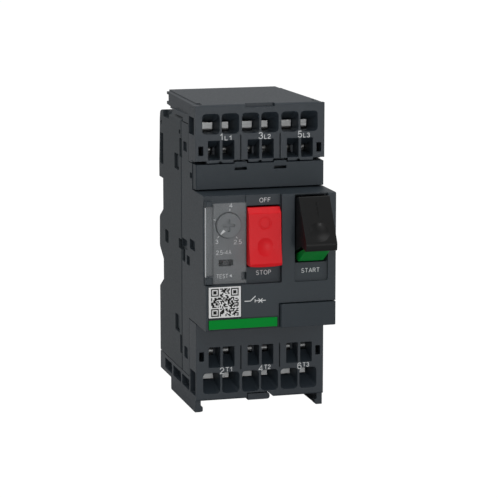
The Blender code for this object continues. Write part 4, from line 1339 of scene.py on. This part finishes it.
FLOOR_D = 64.0 + 0.005
DIAL_FLOOR_D = 63.4 + 0.005
print_group(
    "print_button_words",
    [
        printed("word_off", "OFF", -1.6, FLOOR_D, 19.7, 1.55, 3.9),
        printed("word_stop", "STOP", -2.1, FLOOR_D, -4.7, 1.55, 5.2),
        printed("word_start", "START", 13.9, START_FLOOR + 0.005, -4.55, 1.55, 6.4),
    ],
)
dial_marks = [
    printed("mark_4", "4", -13.1, DIAL_FLOOR_D, 18.25, 1.5, 1.2, 0.22),
    printed("mark_3", "3", -18.0, DIAL_FLOOR_D, 6.3, 1.45, 1.0, 0.22),
    printed("mark_2.5", "2.5", -10.8, DIAL_FLOOR_D, 5.9, 1.5, 2.7),
    printed("mark_range", "2.5-4A", -15.6, DIAL_FLOOR_D, 2.6, 1.5, 5.2),
    printed("mark_test", "TEST", -16.15, DIAL_FLOOR_D, -5.4, 1.45, 4.1),
]
for index, angle in enumerate((145.7, 222.0, 293.0, 366.0)):
    dial_marks.append(
        bar(f"tick_{index}", compass(angle, 4.75), compass(angle, 5.5), DIAL_FLOOR_D, 0.26, None)
    )
# arrow after the word
bm = bmesh.new()
tri = [bm.verts.new(point(x, DIAL_FLOOR_D, z)) for x, z in ((-13.8, -5.4), (-12.9, -4.85), (-12.9, -5.95))]
face = bm.faces.new(tri)
made = bmesh.ops.extrude_face_region(bm, geom=[face])
bmesh.ops.translate(
    bm, verts=[g for g in made["geom"] if isinstance(g, bmesh.types.BMVert)], vec=Vector((0, -0.03 * MM, 0))
)
dial_marks.append(mesh_object("mark_arrow", bm))
print_group("print_dial_marks", dial_marks)

# circuit symbol of a breaker contact
symbol = [
    bar("s1", (-9.2, -13.8), (-7.1, -13.8), M_D + 0.005, 0.32, None),
    bar("s2", (-7.2, -13.85), (-5.4, -12.15), M_D + 0.005, 0.32, None),
    bar("s3", (-5.55, -13.3), (-5.55, -14.3), M_D + 0.005, 0.32, None),
    bar("s4", (-5.55, -13.8), (-1.9, -13.8), M_D + 0.005, 0.3, None),
    bar("s5", (-4.4, -13.1), (-3.0, -14.5), M_D + 0.012, 0.3, None),
    bar("s6", (-3.0, -13.1), (-4.4, -14.5), M_D + 0.018, 0.3, None),
]
symbol = join("print_symbol", symbol)
paint(symbol, MAT_INK)
place(symbol, "housing", "label_paper")

T_PRINT = T_D + 0.005
terminal_marks = []
for index, p in enumerate(POLES):
    terminal_marks += [
        printed(f"line_{index}", str(2 * index + 1), p + 0.15, T_PRINT, 39.7, 2.3, weight=0.29),
        printed(f"L_{index}", f"L{index + 1}", p + 2.5, T_PRINT, 39.3, 1.6, 2.35, weight=0.24),
        printed(f"load_{index}", str(2 * index + 2), p + 0.3, T_PRINT, -40.3, 2.3, weight=0.29),
        printed(f"T_{index}", f"T{index + 1}", p + 2.6, T_PRINT, -39.95, 1.6, 2.35, weight=0.24),
    ]
print_group("print_terminal_marks", terminal_marks)


# ------------------------------------------------------------------ spring clamps

UP_PATH = [
    (46.95, 44.05), (46.9, 42.6), (46.6, 41.4), (43.4, 40.3), (41.0, 38.6), (40.4, 36.2), (41.2, 34.0), (43.4, 33.25),
    (45.8, 33.4), (46.75, 33.95), (46.9, 34.7), (46.2, 35.3), (45.0, 35.5),
]
for index, p in enumerate(POLES):
    number = index + 1
    for letter in "ab":
        for side, sign in (("upper", 1), ("lower", -1)):
            node = f"{side}_clamp_{number}{letter}"
            xs = node_box(node)[0]
            path = [(d, sign * z) for d, z in UP_PATH]
            if sign > 0:  # the upper clamps end a little deeper behind the release mouths
                path = path[:8] + [(d - 2.6, z) for d, z in path[8:]]
            path = smooth_path(path, 4)
            clamp = prism(f"{node}_spring", strip_outline(path, 0.4), xs)
            tidy(clamp, 0.06, 1, 45.0)
            paint(clamp, MAT_STEEL)
            place(clamp, "housing", "spring_steel", node)


# ------------------------------------------------------------------ rail latch and its spring

latch = rounded_box("rail_latch_slide", (-9.0, 9.0), (2.5, 4.2), (-49.8, -14.4), 0.3, 1, 2)
steps = joins(rb((-7.0, 7.0), (0.3, 3.0), (-49.8, -14.4), 0.4, 1, 2))
bm = bmesh.new()
box_verts(bm, (-10.0, 10.0), (-1.0, 2.2), (-15.2, -12.0))
for v in bm.verts:
    if v.co.y > 0 and v.co.z < -0.0145:
        v.co.z -= 0.0016
chamfer_tool = mesh_object("latch_nose_chamfer", bm)
steps += cuts(
    rb((-2.2, 2.2), (-1.0, 6.0), (-43.5, -28.0), 0.4, 1, 2),
    rb((-2.6, 2.6), (-1.0, 6.0), (-48.4, -46.4), 0.4, 1, 2),
    chamfer_tool,
)
for k in range(4):
    steps += cuts(rb((-5.5, 5.5), (-1.0, 0.7), (-27.2 + 1.6 * k, -26.6 + 1.6 * k), 0.0))
boolean_all(latch, steps)
tidy(latch, 0.15)
paint(latch, MAT_LATCH)
place(latch, "rail_latch", "latch_plastic", "rail_latch")


def coil(name, axis, x, depth, z, radius, wire, turns, length, per_turn=28, sides=10):
    """Round wire wound about an axis, its ends closed, as one tube mesh."""
    total = int(turns * per_turn)
    turn = {
        "X": Matrix.Rotation(math.radians(90), 4, "Y"), "Y": Matrix.Rotation(math.radians(90), 4, "X"),
        "Z": Matrix.Identity(4),
    }[axis]
    base = Matrix.Translation(point(x, depth, z)) @ turn
    curve = bpy.data.curves.new(name, "CURVE")
    curve.dimensions = "3D"
    curve.bevel_depth = wire * MM
    curve.bevel_resolution = 3
    curve.use_fill_caps = True
    spline = curve.splines.new("POLY")
    spline.points.add(total)
    for i, p in enumerate(spline.points):
        a = 2 * math.pi * i / per_turn
        p.co = (radius * math.cos(a) * MM, radius * math.sin(a) * MM, (i / total - 0.5) * length * MM, 1.0)
    holder = bpy.data.objects.new(name + "_curve", curve)
    bpy.context.scene.collection.objects.link(holder)
    mesh = evaluated_mesh(holder)
    bpy.data.objects.remove(holder, do_unlink=True)
    bm = bmesh.new()
    bm.from_mesh(mesh)
    bmesh.ops.remove_doubles(bm, verts=bm.verts, dist=1e-7)
    bmesh.ops.transform(bm, matrix=base, verts=bm.verts)
    made = mesh_object(name, bm)
    made.data.shade_smooth()
    return made


latch_spring = coil("latch_spring_coil", "Z", 0.0, 2.6, -33.0, 1.1, 0.25, 5, 8.6)
paint(latch_spring, MAT_STEEL)
place(latch_spring, "housing", "spring_steel", "latch_spring")
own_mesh(latch_spring)

for index, p in enumerate(POLES):
    number = index + 1
    x, d, z = [sum(v) / 2 for v in node_box(f"magnet_coil_{number}")]
    winding = coil(f"magnet_winding_{number}", "Z", p, 19.4, -22.5, 4.0, 0.8, 5, 14.0, 32, 12)
    paint(winding, MAT_COPPER)
    place(winding, "housing", "coil_wire", f"magnet_coil_{number}")
    spring = coil(f"contact_spring_coil_{number}", "Y", p, 26.25, 0.0, 1.7, 0.3, 4, 6.0)
    paint(spring, MAT_STEEL)
    place(spring, "contact_carrier", "spring_steel", f"contact_spring_{number}")


# ------------------------------------------------------------------ finishes of the CAD nodes that stay

FINISH = {
    "test_slider": MAT_SLIDER, "contact_carrier": MAT_CREAM, "trip_bar": MAT_CREAM, "mechanism_lever": MAT_CREAM,
    "start_pivot_pin": MAT_STEEL, "stop_pivot_pin": MAT_STEEL, "lever_pin": MAT_STEEL,
}
for name, obj in NODES.items():
    if obj.hide_render:
        continue
    if name in FINISH:
        finish = FINISH[name]
    elif name.startswith(("line_contact_bar", "load_", "moving_contact")):
        finish = MAT_TIN
    elif name.startswith("bimetal"):
        finish = MAT_BIMETAL
    elif name.startswith("arc_chute"):
        finish = MAT_ZINC
    else:
        finish = MAT_STEEL
    if not obj.material_slots:
        obj.data.materials.append(finish)
    for slot in obj.material_slots:
        slot.link = "OBJECT"
        slot.material = finish


# ------------------------------------------------------------------ floor, light, camera

scene = bpy.context.scene
scene.view_settings.view_transform = "Standard"
scene.view_settings.look = "None"

bm = bmesh.new()
bmesh.ops.create_grid(bm, x_segments=1, y_segments=1, size=6.0, matrix=Matrix.Translation((0, 0, CAD_LOW.z - 0.00002)))
floor = mesh_object("floor", bm)
made, tree, shader = new_material("floor_pale")
shader.inputs["Base Color"].default_value = (0.6, 0.6, 0.6, 1.0)
shader.inputs["Roughness"].default_value = 0.9
shader.inputs["Specular IOR Level"].default_value = 0.1
glow = tree.nodes.new("ShaderNodeEmission")
glow.inputs["Color"].default_value = (1.0, 1.0, 1.0, 1.0)
glow.inputs["Strength"].default_value = 1.09
path = tree.nodes.new("ShaderNodeLightPath")
share = tree.nodes.new("ShaderNodeMath")
share.operation = "MULTIPLY"
share.inputs[1].default_value = 0.93
tree.links.new(path.outputs["Is Camera Ray"], share.inputs[0])
blend = tree.nodes.new("ShaderNodeMixShader")
tree.links.new(share.outputs[0], blend.inputs["Fac"])
tree.links.new(shader.outputs["BSDF"], blend.inputs[1])
tree.links.new(glow.outputs["Emission"], blend.inputs[2])
surface = next(n for n in tree.nodes if n.type == "OUTPUT_MATERIAL")
tree.links.new(blend.outputs["Shader"], surface.inputs["Surface"])
paint(floor, made)

AMBIENT, SKY = 0.36, 0.18

world = bpy.data.worlds.new("studio")
scene.world = world
world.use_nodes = True
tree = world.node_tree
background = tree.nodes["Background"]
coords = tree.nodes.new("ShaderNodeTexCoord")
split = tree.nodes.new("ShaderNodeSeparateXYZ")
tree.links.new(coords.outputs["Generated"], split.inputs["Vector"])
brightness = map_range(tree, split.outputs["Z"], 0.0, 1.0, AMBIENT, AMBIENT + SKY)
light_path = tree.nodes.new("ShaderNodeLightPath")
mix = tree.nodes.new("ShaderNodeMix")
mix.data_type = "FLOAT"
tree.links.new(light_path.outputs["Is Camera Ray"], mix.inputs["Factor"])
tree.links.new(brightness, mix.inputs["A"])
mix.inputs["B"].default_value = 1.02
tree.links.new(mix.outputs["Result"], background.inputs["Strength"])
background.inputs["Color"].default_value = (1.0, 1.0, 1.0, 1)


def area(name, location, target, size, power, colour=(1, 1, 1)):
    data = bpy.data.lights.new(name, "AREA")
    data.shape = "DISK"
    data.size = size
    data.energy = power
    data.color = colour
    made = bpy.data.objects.new(name, data)
    scene.collection.objects.link(made)
    made.location = location
    made.rotation_euler = (Vector(target) - Vector(location)).to_track_quat("-Z", "Y").to_euler()
    return made


TOP, LEFT, FRONT, LOW, RIGHT = 1.0, 0.1, 0.6, 0.6, 0.15
area("softbox_top", (-0.05, -0.12, 0.75), (0, -0.03, 0), 0.7, TOP)
area("softbox_left", (-0.75, -0.35, 0.25), (0, -0.03, 0), 0.6, LEFT)
area("softbox_front", (-0.12, -1.0, 0.35), (0, -0.03, 0), 0.6, FRONT)
area("softbox_low", (0.1, -0.9, 0.0), (0, -0.03, -0.02), 0.1, LOW)
area("softbox_right", (0.8, -0.45, 0.2), (0, -0.03, 0), 0.5, RIGHT)

CAMERA_AT = Vector((-203.28, 772.42, 137.57))
YAW, PITCH, FOCAL_PX, FRAME_PX = math.radians(15.478), math.radians(10.341), 2250.4, 498
camera_data = bpy.data.cameras.new("camera")
camera_data.sensor_width = 36.0
camera_data.lens = FOCAL_PX / FRAME_PX * 36.0
camera_data.clip_start = 0.01
camera_data.clip_end = 50.0
camera = bpy.data.objects.new("camera", camera_data)
scene.collection.objects.link(camera)
camera.location = point(*CAMERA_AT)
forward = Vector(
    (math.sin(YAW) * math.cos(PITCH), math.cos(YAW) * math.cos(PITCH), -math.sin(PITCH))
)
camera.rotation_mode = "QUATERNION"
camera.rotation_quaternion = forward.to_track_quat("-Z", "Y")
scene.camera = camera
